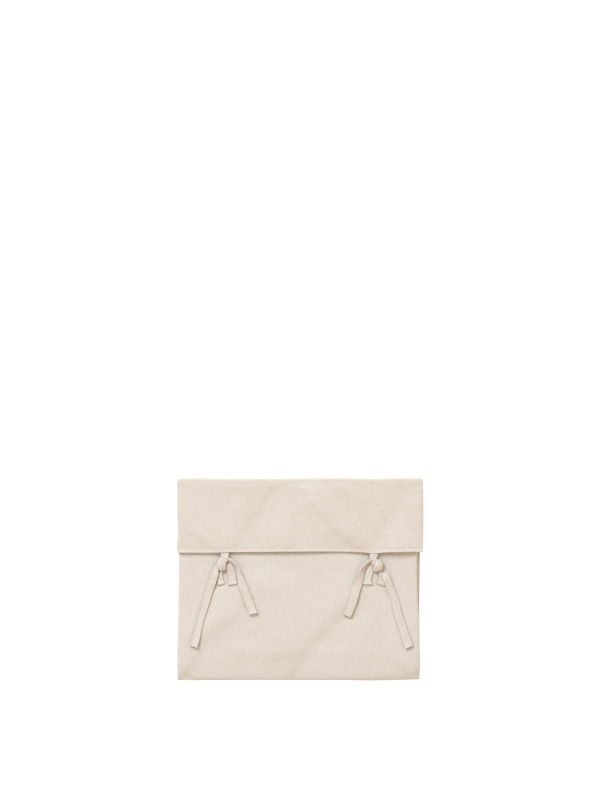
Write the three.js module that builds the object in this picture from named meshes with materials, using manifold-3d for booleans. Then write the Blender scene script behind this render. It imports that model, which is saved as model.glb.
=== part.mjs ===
// Canvas travel pouch, lying flat on its back and tied shut. It is an envelope of two cloth
// panels. The back panel folds over the top and comes down the front as a flap, and two
// pairs of cloth ties, each pair tied in a small bow, hold the flap's hem down.
// Millimetres. +X is to the right of the front, +Y towards the top fold, +Z up from the
// surface. The origin is on the surface, under the middle of the pouch.

import * as THREE from "three";
import { mergeVertices } from "three/addons/utils/BufferGeometryUtils.js";
import Module from "manifold-3d";

const wasm = await Module();
wasm.setup();

const { clamp, lerp, smoothstep, degToRad } = THREE.MathUtils;

// Cloth, straps and the clearance between pieces that touch
const clothThick = 1.2;
const hemThick = 2.2;
const sideHemThick = 1.6;
const mouthHemThick = 2.0;
const strapThick = 1.4;
const strapWidth = 9.8;
const clearance = 0.3;
const tieEase = 0.17;
const roomClearance = clearance + tieEase;

// Heights above the surface
const frontFace = 7.7;
const foldTop = 9.8;
const seamHeight = clothThick + clearance;
const flapAboveTie = frontFace + clearance + strapThick + roomClearance + clothThick;

// The rolled edge of the front panel, the fold at the top, the hems and the mouth
const edgeRoll = 3.6;
const foldReach = 4.6;
const hemDepth = 8.2;
const hemStep = 1.2;
const sideHemDepth = 6;
const mouthY = 112;
const mouthHemDepth = 11;
const tieHalfGap = 5.6;
const tieStep = 1;
const liftReach = 48;
const flapLength = 87;
const flapMiddle = 60;

// The panels' grids away from their shaped edges: the first line, the last and the spans between
const frontColumns = { from: -141, to: 137, spans: 21 };
const frontRows = { from: -119, to: 22, spans: 13 };
const hiddenRows = { from: 34, to: mouthY - mouthHemDepth - hemStep, spans: 3 };
const backColumns = { from: -138, to: 138, spans: 23 };
const backShares = { from: 0, to: 1, spans: 6 };
const foldTurn = { from: -90, to: 90, spans: 7 };
const aboveHem = 15;
const flapRows = { from: 23, to: flapLength, spans: 8 };

// Where the two closures stand
const leftTieX = -94.6;
const rightTieX = 92.9;

// Outlines, as seen from above, a row for each place where an edge bends
const foldLine = [
  { x: -153.6, y: 125.3 },
  { x: -132, y: 126.3 },
  { x: -105, y: 125.4 },
  { x: 0, y: 125.3 },
  { x: 40, y: 126.2 },
  { x: 78, y: 125.4 },
  { x: 105, y: 125.6 },
  { x: 130, y: 126.3 },
  { x: 153.6, y: 125.9 },
];
const hemLine = [
  { x: -153.6, y: 33.2 },
  { x: -144, y: 33.2 },
  { x: -125, y: 33.9 },
  { x: -108, y: 33.5 },
  { x: leftTieX, y: 32.6 },
  { x: -78, y: 34.0 },
  { x: -38, y: 35.1 },
  { x: 37, y: 35.1 },
  { x: 74, y: 34.4 },
  { x: rightTieX, y: 32.6 },
  { x: 106, y: 33.9 },
  { x: 143, y: 35.0 },
  { x: 153.6, y: 34.8 },
];
const bottomLine = [
  { x: -153.6, y: -126.3 },
  { x: -138, y: -126.3 },
  { x: -100, y: -126.0 },
  { x: -50, y: -125.7 },
  { x: 0, y: -126.1 },
  { x: 50, y: -126.2 },
  { x: 100, y: -126.2 },
  { x: 138, y: -125.2 },
  { x: 149, y: -125.0 },
];
const flapLeft = [
  { y: 33, x: -153.4 },
  { y: 43, x: -153.8 },
  { y: 54, x: -152.9 },
  { y: 80, x: -153.3 },
  { y: 118, x: -153.8 },
  { y: 126, x: -153.3 },
];
const flapRight = [
  { y: 33, x: 153.2 },
  { y: 60, x: 153.7 },
  { y: 80, x: 153.8 },
  { y: 110, x: 153.5 },
  { y: 126, x: 153.1 },
];
const backLeft = [
  { y: -126, x: -153.5 },
  { y: -107, x: -153.8 },
  { y: -76, x: -153.5 },
  { y: -45, x: -152.6 },
  { y: 24, x: -152.2 },
  { y: 100, x: -152.6 },
  { y: 126, x: -153.3 },
];
const backRight = [
  { y: -126, x: 148.6 },
  { y: -107, x: 149.4 },
  { y: -76, x: 148.9 },
  { y: -26, x: 148.7 },
  { y: 0, x: 149.3 },
  { y: 34, x: 149.5 },
  { y: 100, x: 151.6 },
  { y: 126, x: 153.1 },
];
const frontRight = [
  { y: -126, x: 148.4 },
  { y: -107, x: 149.2 },
  { y: -76, x: 148.7 },
  { y: -30, x: 148.2 },
  { y: -18, x: 147.0 },
  { y: -8, x: 146.2 },
  { y: 34, x: 145.9 },
  { y: 112, x: 147.5 },
];

// How far the hem stands off the front panel, beyond its height at the ties
const hemLift = [
  { x: -153.6, lift: 0.0 },
  { x: -122, lift: 0.3 },
  { x: leftTieX, lift: 0.0 },
  { x: -70, lift: 0.5 },
  { x: -15, lift: 0.9 },
  { x: 30, lift: 0.9 },
  { x: 70, lift: 0.4 },
  { x: rightTieX, lift: 0.0 },
  { x: 116, lift: 0.9 },
  { x: 153.6, lift: 0.8 },
];

// Soft troughs and one swell in the cloth: the line each follows, how wide it reaches
// to each side, and how deep it is
const flapFolds = [
  { line: [[-28.6, 119], [-39.5, 99.9], [-54.6, 76.1], [-68, 54.3]], reach: 8, depth: 0.5 },
  { line: [[10.4, 93.4], [25.6, 71.8], [42.9, 56.8], [64.6, 41.4]], reach: 8, depth: 0.55 },
  { line: [[49.4, 115], [62.4, 93.4]], reach: 7, depth: 0.35 },
  { line: [[-104, 112], [-97, 100]], reach: 9, depth: 0.3 },
  { line: [[112, 112], [121, 98]], reach: 9, depth: 0.3 },
  { line: [[-150, 65.5], [-113, 43.6]], reach: 7, depth: 0.4 },
];
const bodyFolds = [
  { line: [[53.7, -49.5], [21.2, -69.1], [8.2, -92.9]], reach: 9, depth: 0.7 },
  { line: [[-93.6, -53.9], [-111, -69.1], [-119.6, -79.9]], reach: 9, depth: 0.5 },
  { line: [[-32, -96], [-11.7, -84.5]], reach: 9, depth: 0.35 },
  { line: [[62, -96.5], [108, -96.5]], reach: 9, depth: 0.3 },
  { line: [[-10, -12], [25, -12]], reach: 34, depth: -0.35 },
];
const bottomSink = { from: -80, to: -126, depth: 1.2 };
const sideDroop = { reach: 3, depth: 0.6 };

// The closures. A tie's row gives the middle of its section, its width and thickness there
// and the way it runs, in degrees from +X. A loop's row gives the middle of its upper layer.
// A tail's row gives how far it is lifted off the front panel, and how far it leans.
const leftKnot = [
  { x: -94.6, y: 40.4, z: 8.7, width: 10.4, thick: 1.4, heading: -90 },
  { x: -94.6, y: 32.4, z: 8.7, width: 10.4, thick: 1.4, heading: -90 },
  { x: -93.9, y: 29.8, z: 10.6, width: 9.0, thick: 1.8, heading: -84 },
  { x: -93.5, y: 27.2, z: 12.9, width: 8.2, thick: 1.8, heading: -92 },
  { x: -94.7, y: 23.6, z: 12.9, width: 9.8, thick: 3.6, heading: -110 },
  { x: -96.7, y: 19.2, z: 11.5, width: 12.4, thick: 6.8, heading: -110 },
  { x: -97.8, y: 15.2, z: 11.3, width: 11.6, thick: 6.4, heading: -98 },
  { x: -97.8, y: 12.2, z: 10.9, width: 9.2, thick: 5.2, heading: -86 },
  { x: -97.4, y: 10.4, z: 10.6, width: 6.0, thick: 3.0, heading: -80 },
];
const rightTongue = [
  { x: 92.9, y: 40.8, z: 8.7, width: 10.4, thick: 1.4, heading: -90 },
  { x: 92.9, y: 32.4, z: 8.7, width: 10.4, thick: 1.4, heading: -90 },
  { x: 93.2, y: 29.8, z: 10.6, width: 9.4, thick: 1.8, heading: -88 },
  { x: 93.2, y: 27.0, z: 12.9, width: 7.8, thick: 1.8, heading: -90 },
  { x: 93.4, y: 22.0, z: 13.2, width: 5.0, thick: 2.2, heading: -88 },
  { x: 93.8, y: 17.6, z: 12.8, width: 3.0, thick: 2.4, heading: -84 },
];
const rightKnot = [
  { x: 95.9, y: 24.0, z: 12.4, width: 4.6, thick: 2.6, heading: -66 },
  { x: 96.8, y: 21.6, z: 12.1, width: 9.4, thick: 5.0, heading: -68 },
  { x: 97.6, y: 17.6, z: 11.5, width: 12.4, thick: 6.8, heading: -72 },
  { x: 97.6, y: 13.6, z: 11.3, width: 11.8, thick: 6.4, heading: -86 },
  { x: 97.2, y: 11.0, z: 10.9, width: 9.0, thick: 5.0, heading: -92 },
  { x: 97.0, y: 9.6, z: 10.6, width: 6.0, thick: 3.0, heading: -94 },
];
const knots = { left: [leftKnot], right: [rightTongue, rightKnot] };
const loops = {
  left_outer_loop: [
    { x: -101.6, y: 11.6, z: 10.8, width: 7.2 },
    { x: -101.4, y: 6.0, z: 10.6, width: 8.6 },
    { x: -100.9, y: 0.4, z: 10.3, width: 9.2 },
    { x: -100.7, y: -4.6, z: 10.5, width: 10.2 },
  ],
  left_inner_loop: [
    { x: -90.2, y: 12.6, z: 10.8, width: 6.4 },
    { x: -86.6, y: 7.0, z: 10.6, width: 8.2 },
    { x: -84.9, y: 0.4, z: 10.3, width: 9.2 },
    { x: -84.6, y: -5.2, z: 10.5, width: 10.2 },
  ],
  right_inner_loop: [
    { x: 89.0, y: 13.0, z: 10.8, width: 5.6 },
    { x: 85.8, y: 7.0, z: 10.6, width: 7.8 },
    { x: 84.1, y: 0.4, z: 10.3, width: 9.0 },
    { x: 83.5, y: -5.0, z: 10.5, width: 10.6 },
  ],
  right_outer_loop: [
    { x: 101.4, y: 10.6, z: 10.8, width: 7.2 },
    { x: 101.7, y: 4.8, z: 10.6, width: 8.6 },
    { x: 101.6, y: -0.8, z: 10.3, width: 9.2 },
    { x: 101.5, y: -6.0, z: 10.5, width: 10.2 },
  ],
};
const loopRoll = { radius: 1.25, lowerLayer: 8.75 };
const tails = {
  left_outer_tail: [
    { x: -96.6, y: 25.4, lift: 0.1, lean: 0 },
    { x: -101.5, y: 20.8, lift: 0.9, lean: -8 },
    { x: -105.4, y: 14.2, lift: 1.7, lean: -17 },
    { x: -108.6, y: 5.3, lift: 2.2, lean: -23 },
    { x: -111.3, y: -4.7, lift: 2.1, lean: -21 },
    { x: -114.3, y: -16.2, lift: 1.1, lean: -8 },
    { x: -117.3, y: -27.2, lift: 0.4, lean: 0 },
    { x: -120.4, y: -37.2, lift: 0.1, lean: 0 },
    { x: -123, y: -46.6, lift: 0.1, lean: 0 },
    { x: -125.5, y: -55.9, lift: 0.2, lean: 0 },
    { x: -127.8, y: -65.9, lift: 0.7, lean: 0 },
    { x: -130.3, y: -75.3, lift: 1.2, lean: 0 },
    { x: -132.4, y: -84.9, lift: 1.5, lean: 0 },
  ],
  left_inner_tail: [
    { x: -91.8, y: 24.6, lift: 1.7, lean: -6 },
    { x: -88.0, y: 22.2, lift: 2.3, lean: -20 },
    { x: -83.6, y: 18.8, lift: 2.7, lean: -32 },
    { x: -79.4, y: 13.4, lift: 2.3, lean: -28 },
    { x: -75.6, y: 5.6, lift: 1.4, lean: -14 },
    { x: -72.5, y: -3.4, lift: 0.5, lean: -4 },
    { x: -69.2, y: -13.4, lift: 0.1, lean: 0 },
    { x: -65.8, y: -22.6, lift: 0.1, lean: 0 },
    { x: -61.8, y: -32.4, lift: 0.5, lean: 0 },
    { x: -57.3, y: -43.0, lift: 1.1, lean: 0 },
  ],
  right_inner_tail: [
    { x: 90.8, y: 23.4, lift: 1.7, lean: 6 },
    { x: 87.0, y: 21.2, lift: 2.3, lean: 20 },
    { x: 82.3, y: 17.0, lift: 2.7, lean: 32 },
    { x: 78.3, y: 12.0, lift: 2.3, lean: 28 },
    { x: 75.3, y: 5.8, lift: 1.4, lean: 14 },
    { x: 72.8, y: -2.2, lift: 0.6, lean: 4 },
    { x: 70.4, y: -10.6, lift: 0.5, lean: 0 },
    { x: 67.3, y: -20.7, lift: 0.8, lean: 0 },
    { x: 64.2, y: -30.8, lift: 0.8, lean: 0 },
    { x: 60.0, y: -45.7, lift: 0.6, lean: 0 },
  ],
  right_outer_tail: [
    { x: 98.4, y: 22.8, lift: 0.1, lean: 0 },
    { x: 102.2, y: 16.4, lift: 1.1, lean: 12 },
    { x: 106.2, y: 6.8, lift: 2.1, lean: 22 },
    { x: 109.8, y: -3.4, lift: 2.0, lean: 20 },
    { x: 113.4, y: -13.2, lift: 0.9, lean: 6 },
    { x: 116.8, y: -23.4, lift: 0.2, lean: 0 },
    { x: 120.0, y: -34.0, lift: 0.1, lean: 0 },
    { x: 123.4, y: -45.2, lift: 0.1, lean: 0 },
    { x: 127.4, y: -57.2, lift: 0.2, lean: 0 },
    { x: 132.4, y: -70.9, lift: 0.2, lean: 0 },
    { x: 137.0, y: -82.9, lift: 0.6, lean: 0 },
  ],
};
const restLift = roomClearance + strapThick / 2;
const tailStep = 3.2;

const canvas = {
  body: new THREE.MeshStandardMaterial({ color: 0xe4d9cb, roughness: 0.95, metalness: 0 }),
  back: new THREE.MeshStandardMaterial({ color: 0xe3d8ca, roughness: 0.95, metalness: 0 }),
  tie: new THREE.MeshStandardMaterial({ color: 0xe6dccf, roughness: 0.93, metalness: 0 }),
};

// The value of one column at a place between a table's rows, on a smooth curve through them
function between(rows, from, value, at) {
  const last = rows.length - 1;
  const place = clamp(at, rows[0][from], rows[last][from]);
  let low = 0;
  while (low < last - 1 && place > rows[low + 1][from]) {
    low += 1;
  }
  const slope = (index) => {
    const before = rows[Math.max(index - 1, 0)];
    const after = rows[Math.min(index + 1, last)];
    return (after[value] - before[value]) / (after[from] - before[from]);
  };
  const span = rows[low + 1][from] - rows[low][from];
  const t = (place - rows[low][from]) / span;
  const ease = t * t * (3 - 2 * t);
  const leave = t * (1 - t) * (1 - t) * span * slope(low);
  const arrive = t * t * (t - 1) * span * slope(low + 1);
  return lerp(rows[low][value], rows[low + 1][value], ease) + leave + arrive;
}

function distanceToLine(x, y, line) {
  const place = new THREE.Vector2(x, y);
  let nearest = Infinity;
  for (let index = 1; index < line.length; index += 1) {
    const start = new THREE.Vector2(...line[index - 1]);
    const run = new THREE.Vector2(...line[index]).sub(start);
    const share = clamp(place.clone().sub(start).dot(run) / run.lengthSq(), 0, 1);
    nearest = Math.min(nearest, place.distanceTo(start.addScaledVector(run, share)));
  }
  return nearest;
}

function troughDepth(folds, x, y) {
  const depthOf = (fold) => fold.depth * Math.exp(-((distanceToLine(x, y, fold.line) / fold.reach) ** 2));
  return folds.reduce((sum, fold) => sum + depthOf(fold), 0);
}

// The height of the front panel's face away from its rolled edges
function frontHeight(x, y) {
  const shown = 1 - smoothstep(y, 22, 34);
  const sink = bottomSink.depth * (1 - smoothstep(y, bottomSink.to, bottomSink.from));
  return frontFace - shown * troughDepth(bodyFolds, x, y) - sink;
}

function roundedShare(inset, reach) {
  const t = clamp(inset / reach, 0, 1);
  return Math.sqrt(1 - (1 - t) ** 2);
}

// A closed solid between two grids of points, with a wall along its four edges
function sheetBetween(upper, lower) {
  const rows = upper.length;
  const columns = upper[0].length;
  const positions = [];
  [upper, lower].forEach((grid) => grid.flat().forEach((point) => positions.push(...point.toArray())));
  const faces = [];
  const above = (row, column) => row * columns + column;
  const below = (row, column) => rows * columns + above(row, column);
  const quad = (a, b, c, d) => faces.push(a, b, c, a, c, d);
  for (let row = 1; row < rows; row += 1) {
    for (let column = 1; column < columns; column += 1) {
      const corners = [[row - 1, column - 1], [row - 1, column], [row, column], [row, column - 1]];
      quad(...corners.map((corner) => above(...corner)));
      quad(...corners.map((corner) => below(...corner)).reverse());
    }
  }
  for (let column = 1; column < columns; column += 1) {
    quad(above(0, column), above(0, column - 1), below(0, column - 1), below(0, column));
    const end = rows - 1;
    quad(above(end, column - 1), above(end, column), below(end, column), below(end, column - 1));
  }
  for (let row = 1; row < rows; row += 1) {
    quad(above(row - 1, 0), above(row, 0), below(row, 0), below(row - 1, 0));
    const end = columns - 1;
    quad(above(row, end), above(row - 1, end), below(row - 1, end), below(row, end));
  }
  const geometry = new THREE.BufferGeometry();
  geometry.setAttribute("position", new THREE.Float32BufferAttribute(positions, 3));
  geometry.setIndex(faces);
  return geometry;
}

// A closed solid through a row of rings with the same number of points
function loftThrough(rings) {
  const count = rings[0].length;
  const positions = rings.flat().flatMap((point) => point.toArray());
  const faces = [];
  for (let ring = 1; ring < rings.length; ring += 1) {
    for (let index = 0; index < count; index += 1) {
      const next = (index + 1) % count;
      const a = (ring - 1) * count + index;
      const b = (ring - 1) * count + next;
      const c = ring * count + next;
      const d = ring * count + index;
      faces.push(a, b, c, a, c, d);
    }
  }
  const end = (rings.length - 1) * count;
  for (let index = 1; index < count - 1; index += 1) {
    faces.push(0, index + 1, index);
    faces.push(end, end + index, end + index + 1);
  }
  const geometry = new THREE.BufferGeometry();
  geometry.setAttribute("position", new THREE.Float32BufferAttribute(positions, 3));
  geometry.setIndex(faces);
  return geometry;
}

function toSolid(geometry) {
  const bare = geometry.clone();
  bare.deleteAttribute("normal");
  bare.deleteAttribute("uv");
  const merged = mergeVertices(bare, 1e-4);
  const vertProperties = merged.getAttribute("position").array;
  const triVerts = new Uint32Array(merged.index.array);
  return new wasm.Manifold(new wasm.Mesh({ numProp: 3, vertProperties, triVerts }));
}

function cutClear(solid, rooms) {
  const rest = rooms.reduce((left, room) => left.subtract(room), solid);
  return rest.decompose().sort((a, b) => b.volume() - a.volume())[0];
}

function toGeometry(solid) {
  const mesh = solid.getMesh();
  const geometry = new THREE.BufferGeometry();
  geometry.setAttribute("position", new THREE.Float32BufferAttribute(mesh.vertProperties, 3));
  geometry.setIndex(new THREE.Uint32BufferAttribute(mesh.triVerts, 1));
  return geometry;
}

function spread({ from, to, spans }) {
  return Array.from({ length: spans + 1 }, (unused, index) => lerp(from, to, index / spans));
}

// Front panel: a shallow tray of cloth, upside down, with rolled edges on three sides
function frontPanel() {
  const rolled = [0, 0.08, 0.3, 0.6, 1];
  const sideInsets = rolled.map((share) => share * edgeRoll);
  const middle = spread(frontColumns);
  const rowsUp = [...spread(frontRows), ...spread(hiddenRows), mouthY - mouthHemDepth, mouthY];
  const gridOf = (isLower) => {
    const roll = isLower ? edgeRoll - clothThick : edgeRoll;
    const inset = isLower ? clothThick : 0;
    const scale = roll / edgeRoll;
    const rows = [];
    sideInsets.forEach((depth) => rows.push({ fromBottom: inset + depth * scale, depth }));
    rowsUp.forEach((y) => rows.push({ y, depth: edgeRoll }));
    return rows.map((row) => {
      const yAt = (x) => row.y ?? between(bottomLine, "x", "y", x) + row.fromBottom;
      const rowY = yAt(0);
      const left = between(backLeft, "y", "x", rowY);
      const right = between(frontRight, "y", "x", rowY);
      const columns = [];
      sideInsets.forEach((depth) => columns.push({ x: left + inset + depth * scale, depth }));
      middle.forEach((x) => columns.push({ x, depth: edgeRoll }));
      [...sideInsets].reverse().forEach((depth) => {
        columns.push({ x: right - inset - depth * scale, depth });
      });
      return columns.map((column) => {
        const y = yAt(column.x);
        const share = Math.min(roundedShare(row.depth, edgeRoll), roundedShare(column.depth, edgeRoll));
        const hemmed = y > mouthY - mouthHemDepth - hemStep / 2;
        const thick = hemmed ? mouthHemThick : clothThick;
        const rise = frontHeight(column.x, y) - seamHeight - (isLower ? thick : 0);
        return new THREE.Vector3(column.x, y, seamHeight + rise * share);
      });
    });
  };
  return sheetBetween(gridOf(false), gridOf(true));
}

function flapHeight(x, y, fromHem, fromSide) {
  const rise = 1 - smoothstep(fromHem, 0, liftReach);
  const lifted = (flapAboveTie - foldTop + between(hemLift, "x", "lift", x)) * rise;
  const droop = sideDroop.depth * (1 - smoothstep(fromSide, 0, sideDroop.reach));
  return foldTop + lifted - droop - troughDepth(flapFolds, x, y);
}

function flapThickness(x, fromHem, fromSide) {
  const isAtTie = Math.min(Math.abs(x - leftTieX), Math.abs(x - rightTieX)) < tieHalfGap + tieStep / 2;
  if (fromHem <= hemDepth && !isAtTie) {
    return hemThick;
  }
  return fromSide <= sideHemDepth && fromHem < flapLength - foldReach ? sideHemThick : clothThick;
}

// Back panel and flap: one cloth, flat below, folded over the top and down the front
function backPanelAndFlap() {
  const sideInsets = [0, 0.5, 1.3, sideHemDepth, sideHemDepth + hemStep];
  const tieColumns = [leftTieX, rightTieX].flatMap((x) => {
    const half = tieHalfGap + tieStep;
    return [x - half, x - tieHalfGap, x, x + tieHalfGap, x + half];
  });
  const isApart = (x) => tieColumns.every((tie) => Math.abs(tie - x) > tieHalfGap - hemStep / 2);
  const inner = [...spread(backColumns).filter(isApart), ...tieColumns].sort((a, b) => a - b);
  const columnsBetween = (left, right) => [
    ...sideInsets.map((inset) => left + inset),
    ...inner,
    ...[...sideInsets].reverse().map((inset) => right - inset),
  ];
  const outer = [];
  const inside = [];
  spread(backShares).slice(0, -1).forEach((share) => {
    const nominalY = lerp(backLeft[0].y, backLeft.at(-1).y - foldReach, share);
    const left = between(backLeft, "y", "x", nominalY);
    const right = between(backRight, "y", "x", nominalY);
    const row = columnsBetween(left, right).map((x) => {
      const low = between(bottomLine, "x", "y", x);
      const high = between(foldLine, "x", "y", x) - foldReach;
      return new THREE.Vector3(x, lerp(low, high, share), 0);
    });
    outer.push(row);
    inside.push(row.map((point) => point.clone().setZ(clothThick)));
  });
  const ends = [flapLeft.at(-1).x, flapRight.at(-1).x];
  const foldHalf = foldTop / 2;
  spread(foldTurn).slice(0, -1).forEach((degrees) => {
    const angle = degToRad(degrees);
    const ring = (inset) => columnsBetween(...ends).map((x) => {
      const centre = between(foldLine, "x", "y", x) - foldReach;
      const y = centre + (foldReach - inset) * Math.cos(angle);
      return new THREE.Vector3(x, y, foldHalf + (foldHalf - inset) * Math.sin(angle));
    });
    outer.push(ring(0));
    inside.push(ring(clothThick));
  });
  const hemRows = [0, 0.5, 1.3, 4.5, hemDepth, hemDepth + hemStep, aboveHem];
  const fromHemRows = [...hemRows, ...spread(flapRows)].reverse();
  fromHemRows.forEach((fromHem) => {
    const nominalY = lerp(flapLeft[0].y, flapLeft.at(-1).y - foldReach, fromHem / flapLength);
    const left = between(flapLeft, "y", "x", nominalY);
    const right = between(flapRight, "y", "x", nominalY);
    const upperRow = [];
    const lowerRow = [];
    columnsBetween(left, right).forEach((x) => {
      const hemY = between(hemLine, "x", "y", x);
      const foldY = between(foldLine, "x", "y", x) - foldReach;
      const share = (fromHem - aboveHem) / (flapLength - aboveHem);
      const y = share <= 0 ? hemY + fromHem : lerp(hemY + aboveHem, foldY, share);
      const fromSide = Math.min(x - left, right - x);
      const settled = 1 - smoothstep(fromHem, flapLength - 2 * foldReach, flapLength);
      const top = lerp(foldTop, flapHeight(x, y, fromHem, fromSide), settled);
      const thick = flapThickness(x, fromHem, fromSide);
      const fromEdge = fromHem > flapMiddle ? thick : Math.min(fromHem, fromSide);
      const shave = (0.7 * (1 - roundedShare(fromEdge, thick / 2)) * thick) / 2;
      upperRow.push(new THREE.Vector3(x, y, top - shave));
      lowerRow.push(new THREE.Vector3(x, y, top - thick + shave));
    });
    outer.push(upperRow);
    inside.push(lowerRow);
  });
  return sheetBetween(inside, outer);
}

// A strap's rounded section, level when it leans by nothing
function sectionRing(centre, side, lift, width, thick, roundness, count) {
  return Array.from({ length: count }, (unused, index) => {
    const angle = (2 * Math.PI * (index + 0.5)) / count;
    const power = 2 / roundness;
    const across = Math.sign(Math.cos(angle)) * Math.abs(Math.cos(angle)) ** power;
    const up = Math.sign(Math.sin(angle)) * Math.abs(Math.sin(angle)) ** power;
    return centre.clone().addScaledVector(side, (across * width) / 2).addScaledVector(lift, (up * thick) / 2);
  });
}

function tieLoft(rows) {
  const up = new THREE.Vector3(0, 0, 1);
  return loftThrough(rows.map((row) => {
    const heading = degToRad(row.heading);
    const side = new THREE.Vector3(-Math.sin(heading), Math.cos(heading), 0);
    const centre = new THREE.Vector3(row.x, row.y, row.z);
    return sectionRing(centre, side, up, row.width, row.thick, 3, 14);
  }));
}

function loopPath(rows) {
  const upper = new THREE.CatmullRomCurve3(rows.map((row) => new THREE.Vector3(row.x, row.y, row.z)));
  const widths = rows.map((row, index) => ({ at: index / (rows.length - 1), width: row.width }));
  return {
    point: (t) => upper.getPoint(t),
    run: (t) => upper.getTangent(t).setZ(0).normalize(),
    width: (t) => between(widths, "at", "width", t),
  };
}

function loopRing(centre, run, lift, width, thick, roundness = 4) {
  const side = new THREE.Vector3().crossVectors(new THREE.Vector3(0, 0, 1), run).normalize();
  return sectionRing(centre, side, lift, width, thick, roundness, roundness < 6 ? 10 : 12);
}

// A flat loop: an upper layer out of the knot, a roll at its end, and a lower layer back
function loopLoft(rows) {
  const path = loopPath(rows);
  const rings = [];
  const ringAt = (centre, run, lift, width) => rings.push(loopRing(centre, run, lift, width, strapThick));
  const up = new THREE.Vector3(0, 0, 1);
  const upperLayer = { from: 0, to: 1, spans: 9 };
  const lowerLayer = { from: 1, to: 0.12, spans: 7 };
  const roll = { from: 90, to: -90, spans: 6 };
  spread(upperLayer).forEach((t) => ringAt(path.point(t), path.run(t), up, path.width(t)));
  const end = path.point(1);
  const run = path.run(1);
  const middle = (end.z + loopRoll.lowerLayer) / 2;
  const half = (end.z - loopRoll.lowerLayer) / 2;
  spread(roll).slice(1, -1).forEach((degrees) => {
    const angle = degToRad(degrees);
    const out = loopRoll.radius * Math.cos(angle);
    const centre = end.clone().addScaledVector(run, out).setZ(middle + half * Math.sin(angle));
    const lift = run.clone().multiplyScalar(Math.cos(angle)).setZ(Math.sin(angle)).normalize();
    ringAt(centre, run, lift, rows.at(-1).width);
  });
  spread(lowerLayer).forEach((t) => {
    ringAt(path.point(t).setZ(loopRoll.lowerLayer), path.run(t), up.clone().negate(), path.width(t));
  });
  return loftThrough(rings);
}

// The room that a loop takes in a knot, both layers and the clearance around them
function loopRoom(rows) {
  const path = loopPath(rows);
  const up = new THREE.Vector3(0, 0, 1);
  return loftThrough(spread({ from: 0, to: 1, spans: 9 }).map((t) => {
    const upper = path.point(t);
    const centre = upper.clone().setZ((upper.z + loopRoll.lowerLayer) / 2);
    if (t === 0) {
      centre.addScaledVector(path.run(0), -roomClearance);
    }
    const thick = upper.z - loopRoll.lowerLayer + strapThick + 2 * roomClearance;
    return loopRing(centre, path.run(t), up, path.width(t) + 2 * roomClearance, thick, 8);
  }));
}

// A path whose frames keep a flat strap level across, or leaning by its rows' degrees
class StrapPath extends THREE.CatmullRomCurve3 {
  constructor(rows) {
    const heightOf = (row) => frontHeight(row.x, row.y) + restLift + row.lift;
    super(rows.map((row) => new THREE.Vector3(row.x, row.y, heightOf(row))));
    this.leans = rows.map((row, index) => ({ at: index / (rows.length - 1), lean: row.lean }));
  }

  computeFrenetFrames(segments) {
    const frames = { tangents: [], normals: [], binormals: [] };
    for (let index = 0; index <= segments; index += 1) {
      const t = this.getUtoTmapping(index / segments);
      const tangent = this.getTangent(t);
      const lean = degToRad(between(this.leans, "at", "lean", t));
      const side = new THREE.Vector3(-tangent.y, tangent.x, 0).normalize().applyAxisAngle(tangent, lean);
      frames.tangents.push(tangent);
      frames.normals.push(side);
      frames.binormals.push(new THREE.Vector3().crossVectors(tangent, side));
    }
    return frames;
  }
}

function tailExtrusion(rows, grow) {
  const root = { ...rows[0] };
  const reach = Math.hypot(rows[1].x - root.x, rows[1].y - root.y);
  root.x += ((root.x - rows[1].x) * grow) / reach;
  root.y += ((root.y - rows[1].y) * grow) / reach;
  const path = new StrapPath([root, ...rows.slice(1)]);
  const halfWidth = strapWidth / 2 + grow;
  const halfThick = strapThick / 2 + grow;
  const corner = 0.5;
  const quarter = [[halfWidth, halfThick * 0.45], [halfWidth - corner, halfThick]];
  const points = [
    ...quarter,
    ...[...quarter].reverse().map(([x, y]) => [-x, y]),
    ...quarter.map(([x, y]) => [-x, -y]),
    ...[...quarter].reverse().map(([x, y]) => [x, -y]),
  ];
  const section = new THREE.Shape(points.map(([x, y]) => new THREE.Vector2(x, y)));
  const steps = Math.round(new StrapPath(rows).getLength() / tailStep);
  return new THREE.ExtrudeGeometry(section, { extrudePath: path, steps });
}

const pouch = new THREE.Group();

function addPiece(name, geometry, material) {
  const mesh = new THREE.Mesh(geometry, material);
  mesh.name = name;
  pouch.add(mesh);
}

addPiece("front_panel", frontPanel(), canvas.body);
addPiece("back_panel_and_flap", backPanelAndFlap(), canvas.back);

for (const side of ["left", "right"]) {
  const sideTails = ["outer", "inner"].map((place) => `${side}_${place}_tail`);
  const sideLoops = ["outer", "inner"].map((place) => `${side}_${place}_loop`);
  sideTails.forEach((name) => addPiece(name, tailExtrusion(tails[name], 0), canvas.tie));
  const tailRooms = sideTails.map((name) => toSolid(tailExtrusion(tails[name], roomClearance)));
  sideLoops.forEach((name) => {
    const loop = cutClear(toSolid(loopLoft(loops[name])), tailRooms);
    addPiece(name, toGeometry(loop), canvas.tie);
  });
  const loopRooms = sideLoops.map((name) => toSolid(loopRoom(loops[name])));
  const knot = knots[side].map((rows) => toSolid(tieLoft(rows))).reduce((all, lump) => all.add(lump));
  addPiece(`${side}_flap_tie`, toGeometry(cutClear(knot, [...tailRooms, ...loopRooms])), canvas.tie);
}

export default pouch;
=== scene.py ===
import math

import bmesh
import bpy
import numpy as np
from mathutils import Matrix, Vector, noise


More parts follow.
